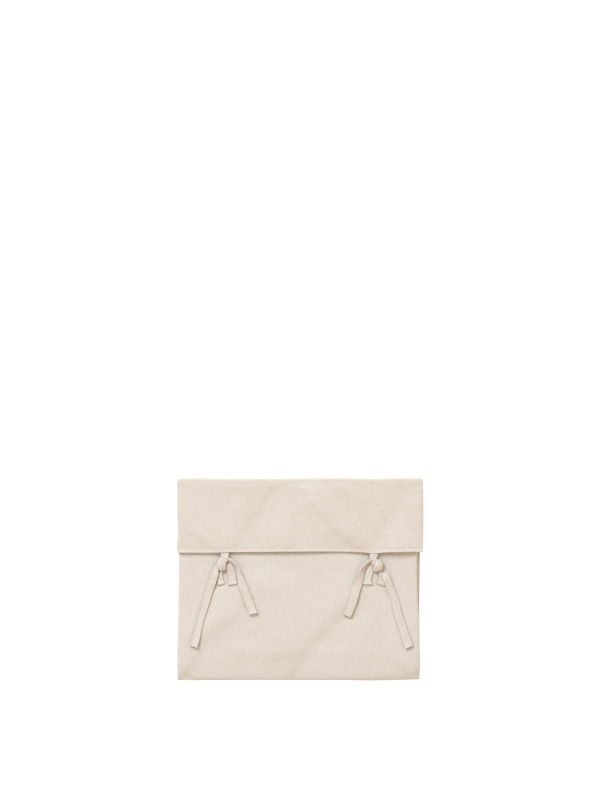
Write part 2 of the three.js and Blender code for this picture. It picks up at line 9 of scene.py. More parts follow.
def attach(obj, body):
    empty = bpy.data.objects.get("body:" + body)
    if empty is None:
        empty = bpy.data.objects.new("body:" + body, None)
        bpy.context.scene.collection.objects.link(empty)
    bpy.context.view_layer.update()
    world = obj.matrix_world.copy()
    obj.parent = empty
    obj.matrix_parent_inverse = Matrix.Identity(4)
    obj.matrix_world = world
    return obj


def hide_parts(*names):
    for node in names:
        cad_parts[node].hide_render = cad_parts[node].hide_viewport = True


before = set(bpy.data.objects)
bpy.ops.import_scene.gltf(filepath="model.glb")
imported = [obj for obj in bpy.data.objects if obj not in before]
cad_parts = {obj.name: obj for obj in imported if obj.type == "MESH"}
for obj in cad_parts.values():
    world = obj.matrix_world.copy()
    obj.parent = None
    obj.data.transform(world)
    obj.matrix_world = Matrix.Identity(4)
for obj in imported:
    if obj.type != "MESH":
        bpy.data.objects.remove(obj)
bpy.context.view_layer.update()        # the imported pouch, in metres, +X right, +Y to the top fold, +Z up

# camera, straight above, with a long lens so that the pouch stays square
view = {
    "lens": 120,
    "sensor": 36,
    "fieldTall": 1.0,        # what the picture's height spans at the pouch
    "focusHeight": 0.008,
    "overX": -0.00045,
    "overY": 0.22425,        # the pouch is low in the picture
}


def addCamera(spec):
    lens = bpy.data.cameras.new("camera")
    lens.lens = spec["lens"]
    lens.sensor_width = spec["sensor"]
    camera = bpy.data.objects.new("camera", lens)
    bpy.context.scene.collection.objects.link(camera)
    away = spec["lens"] / spec["sensor"] * spec["fieldTall"]
    camera.location = (spec["overX"], spec["overY"], spec["focusHeight"] + away)
    bpy.context.scene.camera = camera


addCamera(view)
print("camera is up")


# small tools for shapes

def ramp(at, low, high):        # 0 to 1, smooth at both ends
    t = np.clip((np.asarray(at, float) - low) / (high - low), 0, 1)
    return t * t * (3 - 2 * t)


def hill(away, reach):        # 1 in the middle, less and less to both sides
    return np.exp(-((away / reach) ** 2))


def roundedEdge(fromEdge, radius, least):        # a half round edge's share of the full thickness
    return np.sqrt(np.clip(1 - (1 - np.clip(fromEdge / radius, 0, 1)) ** 2, least, 1))


def along(table, key, value, at):        # smooth curve through two columns of a table
    keys = np.array(table[key], float)
    values = np.array(table[value], float)
    last = len(keys) - 1
    place = np.clip(np.asarray(at, float), keys[0], keys[-1])
    low = np.clip(np.searchsorted(keys, place, side="right") - 1, 0, last - 1)
    before = np.maximum(np.arange(last + 1) - 1, 0)
    after = np.minimum(np.arange(last + 1) + 1, last)
    slope = (values[after] - values[before]) / (keys[after] - keys[before])
    span = keys[low + 1] - keys[low]
    t = (place - keys[low]) / span
    ease = t * t * (3 - 2 * t)
    leave = t * (1 - t) ** 2 * span * slope[low]
    arrive = t * t * (t - 1) * span * slope[low + 1]
    return values[low] + (values[low + 1] - values[low]) * ease + leave + arrive


def acrossLine(x, y, line):        # how far each point is from a line of straight stretches, and on which side
    near, side = np.full(np.shape(x), np.inf), np.zeros(np.shape(x))
    for start, end in zip(line[:-1], line[1:]):
        run = np.subtract(end, start)
        share = np.clip(((x - start[0]) * run[0] + (y - start[1]) * run[1]) / run.dot(run), 0, 1)
        awayX, awayY = x - start[0] - share * run[0], y - start[1] - share * run[1]
        away = np.hypot(awayX, awayY)
        side = np.where(away < near, (run[0] * awayY - run[1] * awayX) / np.hypot(*run), side)
        near = np.minimum(near, away)
    return near, side


def foldDepth(folds, x, y):        # soft troughs, and ridges where the depth is negative
    crest = 0.003        # half the width of the change from one slope to the other
    total = np.zeros(np.shape(x))
    for line, reach, depth in folds:
        near, side = acrossLine(x, y, line)
        left, right = np.broadcast_to(reach, 2)        # one slope can be steeper than the other
        total += depth * hill(near, right + (left - right) * (0.5 + 0.5 * np.tanh(side / crest)))
    return total


def ripple(x, y, size, seed):        # slow unevenness of a cloth, about -1 to 1
    flat = np.stack([np.ravel(x), np.ravel(y)], 1) / size
    return np.array([noise.noise((u, v, seed)) for u, v in flat]).reshape(np.shape(x))


def wander(run, spec, seed, layer):        # slow unevenness along a strap
    amount, pace = spec
    return amount * np.array([noise.noise((place * pace, seed, layer)) for place in run])


def unit(vectors):
    return vectors / np.linalg.norm(vectors, axis=1)[:, None]


def runAlong(points):        # the length of a path up to each of its points
    return np.concatenate([[0], np.cumsum(np.linalg.norm(np.diff(points, axis=0), axis=1))])


def readAlong(places, run, points):        # the points at some lengths along a path
    return np.stack([np.interp(places, run, points[:, axis]) for axis in range(3)], 1)


def smoothPath(points, step):        # evenly spaced points on a smooth curve, and where each is in the rows
    points = np.asarray(points, float)
    table = {"at": runAlong(points), "x": points[:, 0], "y": points[:, 1], "z": points[:, 2]}

    def curveAt(places):
        return np.stack([along(table, "at", axis, places) for axis in ("x", "y", "z")], 1)

    dense = np.linspace(0, table["at"][-1], 600)
    run = runAlong(curveAt(dense))
    count = max(8, round(run[-1] / step))
    even = np.interp(np.linspace(0, run[-1], count + 1), run, dense)
    rowsAt = np.interp(even, table["at"], np.arange(len(points)))
    return curveAt(even), rowsAt, run[-1]


def rowValue(rows, key, rowsAt):        # a column of a route's table, read along its path
    table = {"row": np.arange(len(rows[key])), key: rows[key]}
    return along(table, "row", key, rowsAt)


def endSteps(path, rowsAt, reach, steps=5):        # extra rings close to both ends of a path
    run = runAlong(path)
    near = reach * (1 - np.cos(np.radians(np.linspace(0, 90, steps + 1))))
    places = np.unique(np.concatenate([near, run[(run > reach) & (run < run[-1] - reach)], run[-1] - near]))
    return readAlong(places, run, path), np.interp(places, run, rowsAt)


def closeEnd(path, halfWidth, halfThick):        # draws the last bit in, so that the end is rounded and square
    run = runAlong(path)
    share = roundedEdge(run[-1] - run, halfThick, 0.02)
    return halfWidth - halfThick * (1 - share) * 0.6, halfThick * share


def strapFrames(path, lean):        # forward, across and up for a flat strap that leans by some degrees
    tangent = unit(np.gradient(path, axis=0))
    level = unit(np.stack([-tangent[:, 1], tangent[:, 0], np.zeros(len(path))], 1))
    above = np.cross(tangent, level)
    turn = np.radians(lean)[:, None]
    side = level * np.cos(turn) - above * np.sin(turn)
    return tangent, side, np.cross(tangent, side)


def strapSection(halfWidth, halfThick, middle, edge=4):
    # across and up of a flat strap's section, one row for each ring: top from one edge to the other, then back
    turns = np.radians(np.linspace(90, 0, edge))
    rounded = np.minimum(halfThick, halfWidth * 0.6)[:, None]
    flat = halfWidth[:, None] - rounded
    left = -flat - rounded * np.sin(turns)
    leftUp = np.cos(turns) * np.ones_like(flat)
    inside = flat * np.linspace(-1, 1, middle + 2)[1:-1]
    across = np.concatenate([left, inside, -left[:, ::-1]], 1)
    up = np.concatenate([leftUp, np.ones_like(inside), leftUp[:, ::-1]], 1) * halfThick[:, None]
    return (
        np.concatenate([across, across[:, -2:0:-1]], 1),
        np.concatenate([up, -up[:, -2:0:-1]], 1),
    )


def ringsAbout(path, side, up, across, height):        # points of a section set out along a path
    return path[:, None] + side[:, None] * across[..., None] + up[:, None] * height[..., None]


def clothAlong(across, run, seed):        # where a strap's points are on the flat cloth
    return np.stack(np.broadcast_arrays(across + seed, run[:, None], 0.0), -1)


def buildMesh(name, points, faces, cloth, paintedShade):
    mesh = bpy.data.meshes.new(name)
    mesh.from_pydata(points.tolist(), [], faces)
    weave = mesh.attributes.new("cloth", "FLOAT_VECTOR", "POINT")        # where each point is on the flat cloth
    weave.data.foreach_set("vector", np.asarray(cloth, np.float32).ravel())
    away = mesh.attributes.new("paintedShade", "FLOAT", "POINT")        # painted shade: how much of the browner colour is painted at each point, 1 for all of it
    away.data.foreach_set("value", np.full(len(points), paintedShade, np.float32))
    shape = bmesh.new()
    shape.from_mesh(mesh)
    bmesh.ops.recalc_face_normals(shape, faces=shape.faces)
    for face in shape.faces:
        face.smooth = True
    shape.to_mesh(mesh)
    shape.free()
    piece = bpy.data.objects.new(name, mesh)
    bpy.context.scene.collection.objects.link(piece)
    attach(piece, "root")
    return piece


def thinSheet(name, outer, inner, cloth, inside):        # closed cloth between two grids of points, its inner face painted with as much shade as inside says
    rows, columns = outer.shape[:2]
    count = rows * columns
    index = np.arange(count).reshape(rows, columns)
    quads = np.stack([index[:-1, :-1], index[:-1, 1:], index[1:, 1:], index[1:, :-1]], -1).reshape(-1, 4)
    rim = np.concatenate([index[0, :], index[1:, -1], index[-1, -2::-1], index[-2:0:-1, 0]])
    after = np.roll(rim, -1)
    walls = np.stack([rim, rim + count, after + count, after], -1)
    faces = np.concatenate([quads, quads[:, ::-1] + count, walls]).tolist()
    points = np.concatenate([outer.reshape(-1, 3), inner.reshape(-1, 3)])
    flat = cloth.reshape(-1, 3)
    return buildMesh(name, points, faces, np.concatenate([flat, flat]), np.repeat([0, inside], count))


def ringFaces(rings, corners):        # four-sided faces between rings, and the points' numbers
    index = np.arange(rings * corners).reshape(rings, corners)
    after = np.roll(index, -1, axis=1)
    return index, np.stack([index[:-1], after[:-1], after[1:], index[1:]], -1).reshape(-1, 4).tolist()


def sweep(name, rings, cloth, paintedShade):        # closed solid through rings with the same number of points
    index, faces = ringFaces(*rings.shape[:2])
    centre = np.full(rings.shape[1], index.size)        # the number of a point in the middle of the first ring
    first, last = index[0], index[-1]
    faces += np.stack([first, centre, np.roll(first, -1)], 1).tolist()
    faces += np.stack([last, np.roll(last, -1), centre + 1], 1).tolist()
    points = np.concatenate([rings.reshape(-1, 3), [rings[0].mean(0), rings[-1].mean(0)]])
    flat = np.concatenate([cloth.reshape(-1, 3), [cloth[0].mean(0), cloth[-1].mean(0)]])
    return buildMesh(name, points, faces, flat, np.append(paintedShade, [1, 1]))


# front panel: one cloth, rolled under at both sides and the bottom
front = {
    "face": 0.0074,
    "seam": 0.00112,        # the height of its edges
    "thick": 0.0010,
    "bottom": -0.126,
    "mouth": 0.112,
    "columns": 195,        # points across and up its flat part
    "rows": 155,
    "roll": 0.0028,
    "rollSteps": 9,
    "rollPower": 0.72,        # below 1 the roll is squarer than a quarter circle
    "cornerPower": 4,        # how square its corners are
    "plainFrom": 0.022,        # its folds fade from here up, under the flap
    "plainTo": 0.034,
    "sinkFrom": -0.078,        # it sinks towards the bottom
    "sinkTo": -0.126,
    "sinkDepth": 0.0034,
    "sinkPower": 2.2,
    "uneven": 0.00012,
    "unevenSize": 0.016,
    "flat": (0.309, 0.263),
    # each fold: its line, how far its slopes reach to the left and right, and its depth
    "folds": [
        ([(0.059, -0.046), (0.043, -0.062), (0.021, -0.083), (0.008, -0.102), (-0.005, -0.123)],
         (0.017, 0.01), 0.00145),
        ([(-0.121, -0.066), (-0.103, -0.054), (-0.084, -0.041)], (0.02, 0.012), -0.00175),
        ([(-0.083, 0.023), (-0.051, 0.023), (-0.025, 0.027)], (0.02, 0.004), -0.00024),
        ([(-0.072, -0.009), (-0.04, -0.006), (-0.011, -0.014)], (0.014, 0.024), -0.00175),
        ([(-0.047, -0.024), (-0.01, -0.021), (0.028, -0.024)], (0.009, 0.01), 0.00034),
        ([(0.043, -0.035), (0.059, -0.014), (0.067, 0.005)], (0.026, 0.016), -0.00106),
        ([(-0.074, -0.087), (-0.042, -0.093), (-0.004, -0.087)], (0.009, 0.011), -0.0009),
        ([(0.107, -0.091), (0.126, -0.107), (0.149, -0.121)], (0.026, 0.005), -0.00068),
        ([(0.142, -0.053), (0.144, -0.107)], (0.007, 0.015), -0.0011),
        ([(-0.152, -0.117), (-0.142, -0.107), (-0.131, -0.088)], (0.017, 0.008), -0.00123),
        ([(-0.1, -0.019), (-0.105, -0.046), (-0.114, -0.059)], (0.015, 0.007), -0.00098),
        ([(0.11, -0.04), (0.115, -0.067), (0.128, -0.096)], (0.013, 0.026), -0.00083),
        ([(0.025, -0.08), (0.065, -0.08), (0.105, -0.077)], (0.015, 0.006), 0.00035),
        ([(-0.087, -0.127), (-0.007, -0.128), (0.072, -0.127)], (0.026, 0.005), -0.0007),
        ([(-0.143, 0.018), (-0.143, -0.089)], (0.008, 0.026), -0.00035),
        ([(0.127, 0.013), (0.127, -0.035)], (0.009, 0.007), -0.00031),
        ([(-0.052, -0.058), (-0.039, -0.074), (0.006, -0.069)], (0.026, 0.021), -0.00142),
        ([(0.071, -0.035), (0.079, -0.057), (0.079, -0.078)], (0.016, 0.026), -0.00093),
    ],
    "marks": [        # small creases near the corners and the sides
        ([(0.1405, -0.1165), (0.1478, -0.1208)], 0.0022, 0.0006),
        ([(0.132, -0.1195), (0.1478, -0.1208)], 0.0018, 0.0005),
        ([(0.1472, -0.105), (0.1482, -0.1195)], 0.0012, 0.0004),
        ([(-0.1525, -0.115), (-0.14, -0.1222)], 0.006, 0.0011),
        ([(-0.149, -0.1225), (-0.1405, -0.1238)], 0.0022, 0.0005),
        ([(-0.136, -0.118), (-0.129, -0.1215)], 0.0035, -0.0004),
        ([(-0.155, -0.129), (0.152, -0.1288)], 0.0048, 0.0009),
        ([(0.103, -0.129), (0.151, -0.1272)], 0.0072, 0.0011),
        ([(0.13, -0.1285), (0.151, -0.1265)], 0.006, 0.0005),
        ([(-0.156, -0.127), (-0.141, -0.1285)], 0.008, 0.0014),
    ],
}


def frontHeight(x, y):        # the face of the front panel, which the ties lie on
    shown = 1 - ramp(y, front["plainFrom"], front["plainTo"])
    low = np.clip((front["sinkFrom"] - y) / (front["sinkFrom"] - front["sinkTo"]), 0, 1)
    sink = front["sinkDepth"] * low ** front["sinkPower"]
    return front["face"] - shown * foldDepth(front["folds"], x, y) - sink


# tails: the free ends of the ties, which lie loose on the front panel
tails = {
    "width": 0.0108,
    "thick": 0.00105,
    "rest": 0.00085,        # from the front panel to the middle of the strap
    "step": 0.0009,
    "middle": 25,        # points across its flat part
    "uneven": (0.03, 60),        # how much and how quickly its width wanders
    "curl": (0.00025, 45),        # how much and how quickly its edges rise and sink
    "groove": 0.00036,        # the depth of a seam
    "grooveReach": 0.00060,
    "endSeam": 0.0026,        # from the free end to the shallower seam across it
    "endSeamShare": 0.6,
    "puff": 0.00016,        # the edges are a little fuller than the middle
    "puffIn": 0.0008,        # from the edge to the fullest place
    "soft": 0.0006,        # the reach of the puff and of the end's seam
    "brim": 0.0008,        # as much of a raised edge turns level again
    "paintedShadeEdge": 0.0009,        # how wide the painted shade along the edges is
    "paintedShadeLeft": 0.6,        # the left edge gets less painted shade, as it faces the window
    "standing": (14, 34),        # degrees of lean from which the edges get no painted shade
    "underneath": (0.0006, 0.0020, 0.7),        # the painted shade on the underside lessens from its edges inwards
    "lying": (0.0003, 0.0013),        # lift up to which the strap follows the cloth
    "slantFrom": 0.012,        # the slant of the cut fades over this length
    "exitLeft": (-0.0946, 0.0256, 0.0100),
    "exitRight": (0.0934, 0.0244, 0.0100),
    # lift: height above lying; lean: degrees; stitches: where the seams run, as shares of the width from the
    # left; slant: how the end is cut; each crease: how far along, how far aslant, how deep and how wide
    "routes": {
        "left_outer_tail": {
            "x": [-0.0969, -0.1009, -0.1040, -0.1062, -0.1068, -0.1082, -0.1100, -0.1132, -0.1152, -0.1180,
                  -0.1213, -0.1244, -0.1270, -0.1290, -0.1312, -0.1334],
            "y": [0.0260, 0.0222, 0.0169, 0.0120, 0.0084, 0.0044, -0.0006, -0.0096, -0.0160, -0.0270, -0.0372,
                  -0.0466, -0.0559, -0.0659, -0.0753, -0.0838],
            "lift": [0.0008, 0.0010, 0.0014, 0.0018, 0.0019, 0.0018, 0.0014, 0.0008, 0.0003, 0.0001, 0.0001,
                     0.0001, 0.0001, 0.0005, 0.0016, 0.0027],
            "lean": [0, -1, -2, -3, -5, -7, -7, -4, -1, 0, 0, 0, 0, -2, -6, -12],
            "width": [0.0060, 0.0068, 0.0078, 0.0088, 0.0102, 0.0111, 0.0116, 0.0117, 0.0113, 0.0108, 0.0106,
                      0.0104, 0.0103, 0.0104, 0.0106, 0.0108],
            "stitches": [0.20, 0.33],
            "slant": 0.06,
            "creases": [(0.0185, 0.5, 0.0006, 0.0013), (0.0300, -0.5, 0.0004, 0.0016),
                        (0.0350, 0.3, -0.0002, 0.0020)],
        },
        "left_inner_tail": {
            "x": [-0.0935, -0.0908, -0.0882, -0.0854, -0.0826, -0.0801, -0.0777, -0.0758, -0.0743, -0.0724,
                  -0.0699, -0.0652, -0.0603, -0.0583],
            "y": [0.0252, 0.0239, 0.0225, 0.0205, 0.0177, 0.0142, 0.0094, 0.0045, -0.0001, -0.0066,
                  -0.0133, -0.0257, -0.0382, -0.0427],
            "lift": [0.0028, 0.0029, 0.0029, 0.0028, 0.0026, 0.0022, 0.0016, 0.0010, 0.0006, 0.0003,
                     0.0001, 0.0002, 0.0014, 0.0032],
            "lean": [-50, -52, -52, -51, -48, -40, -28, -16, -8, -2, 0, 0, 0, 0],
            "width": [0.0088, 0.0092, 0.0094, 0.0092, 0.0088, 0.0084, 0.0082, 0.0086, 0.0098, 0.0112,
                      0.0116, 0.0113, 0.0110, 0.0112],
            "stitches": [0.20],
            "slant": 0.16,
            "creases": [(0.0205, -0.7, 0.0005, 0.0013), (0.0280, 0.2, 0.0002, 0.0020),
                        (0.0500, 0.3, 0.0002, 0.0018)],
        },
        "right_inner_tail": {
            "x": [0.0905, 0.0877, 0.0847, 0.0811, 0.0780, 0.0758, 0.0740, 0.0722, 0.0704, 0.0690, 0.0658,
                  0.0613, 0.0581],
            "y": [0.0232, 0.0219, 0.0199, 0.0165, 0.0118, 0.0068, 0.0016, -0.0038, -0.0092, -0.0133, -0.0257,
                  -0.0382, -0.0456],
            "lift": [0.0027, 0.0029, 0.0029, 0.0027, 0.0024, 0.0019, 0.0014, 0.0009, 0.0008, 0.0008, 0.0009,
                     0.0011, 0.0020],
            "lean": [50, 52, 52, 49, 42, 30, 16, 5, -4, -7, -7, -6, -4],
            "width": [0.0084, 0.0088, 0.0090, 0.0088, 0.0088, 0.0092, 0.0100, 0.0108, 0.0114, 0.0117, 0.0118,
                      0.0111, 0.0103],
            "stitches": [0.82],
            "slant": -0.02,
            "creases": [(0.0235, 0.9, 0.0006, 0.0013), (0.0290, 0.5, -0.0002, 0.0016),
                        (0.0600, 0.2, 0.0002, 0.0018)],
        },
        "right_outer_tail": {
            "x": [0.0976, 0.1002, 0.1020, 0.1040, 0.1061, 0.1082, 0.1102, 0.1124, 0.1152, 0.1180, 0.1208,
                  0.1243, 0.1287, 0.1329, 0.1361],
            "y": [0.0228, 0.0184, 0.0138, 0.0087, 0.0043, 0.0001, -0.0052, -0.0108, -0.0180, -0.0257, -0.0382,
                  -0.0507, -0.0632, -0.0757, -0.0845],
            "lift": [0.0000, 0.0000, 0.0002, 0.0009, 0.0019, 0.0021, 0.0014, 0.0006, 0.0002, 0.0001, 0.0001,
                     0.0001, 0.0001, 0.0008, 0.0025],
            "lean": [0, 2, 3, 4, 4, 3, 1, 0, 0, 0, 0, 0, 0, 0, 0],
            "width": [0.0060, 0.0070, 0.0079, 0.0088, 0.0093, 0.0096, 0.0098, 0.0100, 0.0102, 0.0104, 0.0106,
                      0.0106, 0.0106, 0.0105, 0.0105],
            "stitches": [0.64],
            "slant": -0.12,
            "creases": [(0.0180, -0.5, 0.0006, 0.0013), (0.0115, 0.6, 0.0003, 0.0015),
                        (0.0560, 0.2, 0.0002, 0.0018)],
        },
    },
}


def creaseHeight(route, run, across):
    height = 0
    for place, slant, depth, reach in route["creases"]:
        height = height - depth * hill(run - place - slant * across, reach)
    return height


def makeTail(name, route):
    x, y = np.array(route["x"]), np.array(route["y"])
    z = frontHeight(x, y) + tails["rest"] + np.array(route["lift"])
    path, rowsAt, length = smoothPath(np.stack([x, y, z], 1), tails["step"])
    path, rowsAt = endSteps(path, rowsAt, tails["thick"] / 2)
    lean, lift = rowValue(route, "lean", rowsAt), rowValue(route, "lift", rowsAt)
    tangent, side, up = strapFrames(path, lean)
    run = runAlong(path)
    seed = sum(map(ord, name)) * 0.37
    fullWidth = rowValue(route, "width", rowsAt) / 2 * (1 + wander(run, tails["uneven"], seed, 0))
    halfWidth, halfThick = closeEnd(path, fullWidth, np.full(len(path), tails["thick"] / 2))
    across, height = strapSection(halfWidth, halfThick, tails["middle"])
    half, place = halfWidth[:, None], run[:, None]
    fromEdge = half - np.abs(across)
    isTop = (height > 0).astype(float)

    # painted shade along the strap's edges and under it
    edge = (1 - ramp(fromEdge, 0, tails["paintedShadeEdge"])) * np.where(across < 0, tails["paintedShadeLeft"], 1.0)
    edge *= 1 - ramp(np.abs(lean), *tails["standing"])[:, None]
    near, far, less = tails["underneath"]
    paintedShade = np.maximum((1 - isTop) * (1 - less * ramp(fromEdge, near, far)), edge)

    for seam in route["stitches"]:
        fromSeam = ((across / half + 1) / 2 - seam) * 2 * fullWidth[:, None]
        height -= isTop * tails["groove"] * hill(fromSeam, tails["grooveReach"])
    height += isTop * tails["puff"] * hill(fromEdge - tails["puffIn"], tails["soft"])
    endSeam = tails["endSeamShare"] * hill(length - place - tails["endSeam"], tails["soft"])
    height -= isTop * tails["groove"] * endSeam
    beyond = across - np.clip(across, tails["brim"] - half, half - tails["brim"])
    height += np.minimum(np.tan(np.radians(lean))[:, None] * beyond, 0)
    height += creaseHeight(route, place, across)
    height += wander(run, tails["curl"], seed, 4)[:, None] * (across / half) ** 2

    slide = route["slant"] * across * ramp(place, length - tails["slantFrom"], length)
    rings = ringsAbout(path, side, up, across, height) + tangent[:, None] * slide[..., None]
    lies = 1 - ramp(lift, *tails["lying"])
    below = frontHeight(rings[..., 0], rings[..., 1]) - frontHeight(path[:, 0], path[:, 1])[:, None]
    rings[..., 2] += lies[:, None] * below
    piece = sweep(name + "_strap", rings, clothAlong(across, run, seed), paintedShade)
    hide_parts(name)
    leaves = tails["exitLeft"] if name.startswith("left") else tails["exitRight"]
    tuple(leaves)
    return piece, (path, side, up, run, fullWidth)


tailPieces, tailRuns = [], {}
for name, route in tails["routes"].items():
    piece, tailRuns[name] = makeTail(name, route)
    tailPieces.append(piece)
print("four tails are laid out")


# loops: two flat loops from each knot, an upper layer, a roll at the end and a lower layer
loops = {
    "thick": 0.00095,
    "step": 0.0006,
    "middle": 17,
    "rollRadius": 0.0016,
    "rollSteps": 12,
    "lower": 0.0006,        # the lower layer's height above the front panel
    "lowerWidth": 0.9,        # and its width, as a share of the upper layer's
    "lowerEnd": 0.003,        # it ends this far under the knot
    "bend": 0.0008,        # the middle of a roll hangs lower than its ends
    "bendReach": (0.0016, 0.0070),
    "drawn": (0.002, 0.014),        # the strap is drawn together over this length from the knot
    "gather": 0.00014,        # depth of its pleats there
    "cup": 0.0008,        # and how much it is cupped
    "pleats": 7.5,        # radians of them from its middle to its edge
    "inKnot": (0.0010, 0.0045),        # painted shade for the hollow under the knot, over this length
    "inKnotShare": 0.5,
    "swell": 0.02,        # wider at the foremost place of the roll
    "narrow": 0.10,        # and narrower where it turns under
    "narrowFrom": (-0.4, 1.2),
    # how wide the painted shade along the edges is
    "paintedShadeEdge": 0.0006,
    "seamAt": 0.35,
    "groove": 0.00016,
    "grooveReach": 0.0004,
    "routes": {
        "left_outer_loop": {
            "x": [-0.0982, -0.0989, -0.0993, -0.0997, -0.0996, -0.0991],
            "y": [0.0130, 0.0088, 0.0046, 0.0004, -0.0020, -0.0040],
            "rise": [0.0019, 0.0016, 0.0014, 0.0013, 0.0013, 0.0020],
            "width": [0.0034, 0.0036, 0.0050, 0.0068, 0.0078, 0.0090],
        },
        "left_inner_loop": {
            "x": [-0.0905, -0.0882, -0.0870, -0.0861, -0.0854, -0.0849, -0.0846],
            "y": [0.0200, 0.0160, 0.0120, 0.0070, 0.0020, -0.0014, -0.0042],
            "rise": [0.0034, 0.0034, 0.0028, 0.0020, 0.0015, 0.0014, 0.0023],
            "width": [0.0046, 0.0080, 0.0096, 0.0104, 0.0104, 0.0103, 0.0114],
        },
        "right_inner_loop": {
            "x": [0.0908, 0.0884, 0.0866, 0.0854, 0.0845, 0.0841, 0.0840],
            "y": [0.0175, 0.0144, 0.0100, 0.0050, 0.0006, -0.0018, -0.0040],
            "rise": [0.0018, 0.0017, 0.0016, 0.0015, 0.0014, 0.0014, 0.0023],
            "width": [0.0048, 0.0076, 0.0088, 0.0088, 0.0086, 0.0090, 0.0124],
        },
        "right_outer_loop": {
            "x": [0.0986, 0.0995, 0.1006, 0.1014, 0.1012, 0.1006],
            "y": [0.0115, 0.0078, 0.0042, 0.0006, -0.0020, -0.0044],
            "rise": [0.0018, 0.0016, 0.0014, 0.0013, 0.0013, 0.0020],
            "width": [0.0030, 0.0034, 0.0052, 0.0070, 0.0084, 0.0110],
        },
    },
}


def makeLoop(name, route):
    x, y = np.array(route["x"]), np.array(route["y"])
    points = np.stack([x, y, frontHeight(x, y) + np.array(route["rise"])], 1)
    path, rowsAt = smoothPath(points, loops["step"])[:2]
    width = rowValue(route, "width", rowsAt)
    tangent, side = strapFrames(path, np.zeros(len(path)))[:2]
    ahead = unit(tangent * (1, 1, 0))[-1]        # level, the way the loop points at its end
    upright = np.array([0, 0, 1.0])

    lower = path[::-1].copy()
    lower[:, 2] = frontHeight(lower[:, 0], lower[:, 1]) + loops["lower"]
    keep = lower[:, 1] < route["y"][0] - loops["lowerEnd"]
    end, lowEnd = path[-1], lower[0, 2]
    turn = np.radians(np.linspace(90, -90, loops["rollSteps"])[1:-1])
    roll = end + ahead * (loops["rollRadius"] * np.cos(turn))[:, None]
    roll[:, 2] = (end[2] + lowEnd) / 2 + (end[2] - lowEnd) / 2 * np.sin(turn)
    rollUp = ahead * np.cos(turn)[:, None] + upright * np.sin(turn)[:, None]
    swell = 1 + loops["swell"] * np.cos(turn) - loops["narrow"] * ramp(-turn, *loops["narrowFrom"])

    whole = np.concatenate([path, roll, lower[keep]])
    sides = np.concatenate([side, np.tile(side[-1], (len(turn), 1)), side[::-1][keep]])
    ups = np.concatenate([np.tile(upright, (len(path), 1)), rollUp, np.tile(-upright, (keep.sum(), 1))])
    halfWidth = np.concatenate([width, width[-1] * swell, width[::-1][keep] * loops["lowerWidth"]]) / 2
    across, height = strapSection(halfWidth, np.full(len(whole), loops["thick"] / 2), loops["middle"])
    half = halfWidth[:, None]
    share = across / half
    run = runAlong(whole)

    # painted shade: under the loop, round its edges, and darker near the knot
    paintedShade = np.maximum(height <= 0, 1 - ramp(half - np.abs(across), 0, loops["paintedShadeEdge"]))
    inKnot = loops["inKnotShare"] * (1 - ramp(run, *loops["inKnot"]))[:, None]
    paintedShade = np.maximum(paintedShade, inKnot)
    drawn = (1 - ramp(run, *loops["drawn"]))[:, None]
    seam = hill((share - loops["seamAt"]) * half, loops["grooveReach"])
    height = height - (height > 0) * loops["groove"] * seam
    gathered = loops["gather"] * np.cos(share * loops["pleats"])
    height = height + drawn * (gathered + loops["cup"] * (1 - share ** 2))
    fromEnd = np.linalg.norm(whole[:, :2] - end[:2], axis=1)
    hang = (1 - ramp(fromEnd, *loops["bendReach"]))[:, None] * (1 - share ** 2)
    rings = ringsAbout(whole, sides, ups, across, height) + ahead * (loops["bend"] * hang)[..., None]
    seed = sum(map(ord, name)) * 0.29
    piece = sweep(name + "_strap", rings, clothAlong(across, run, seed), paintedShade)
    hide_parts(name)
    return piece


loopPieces = [makeLoop(name, route) for name, route in loops["routes"].items()]
print("four loops are turned")


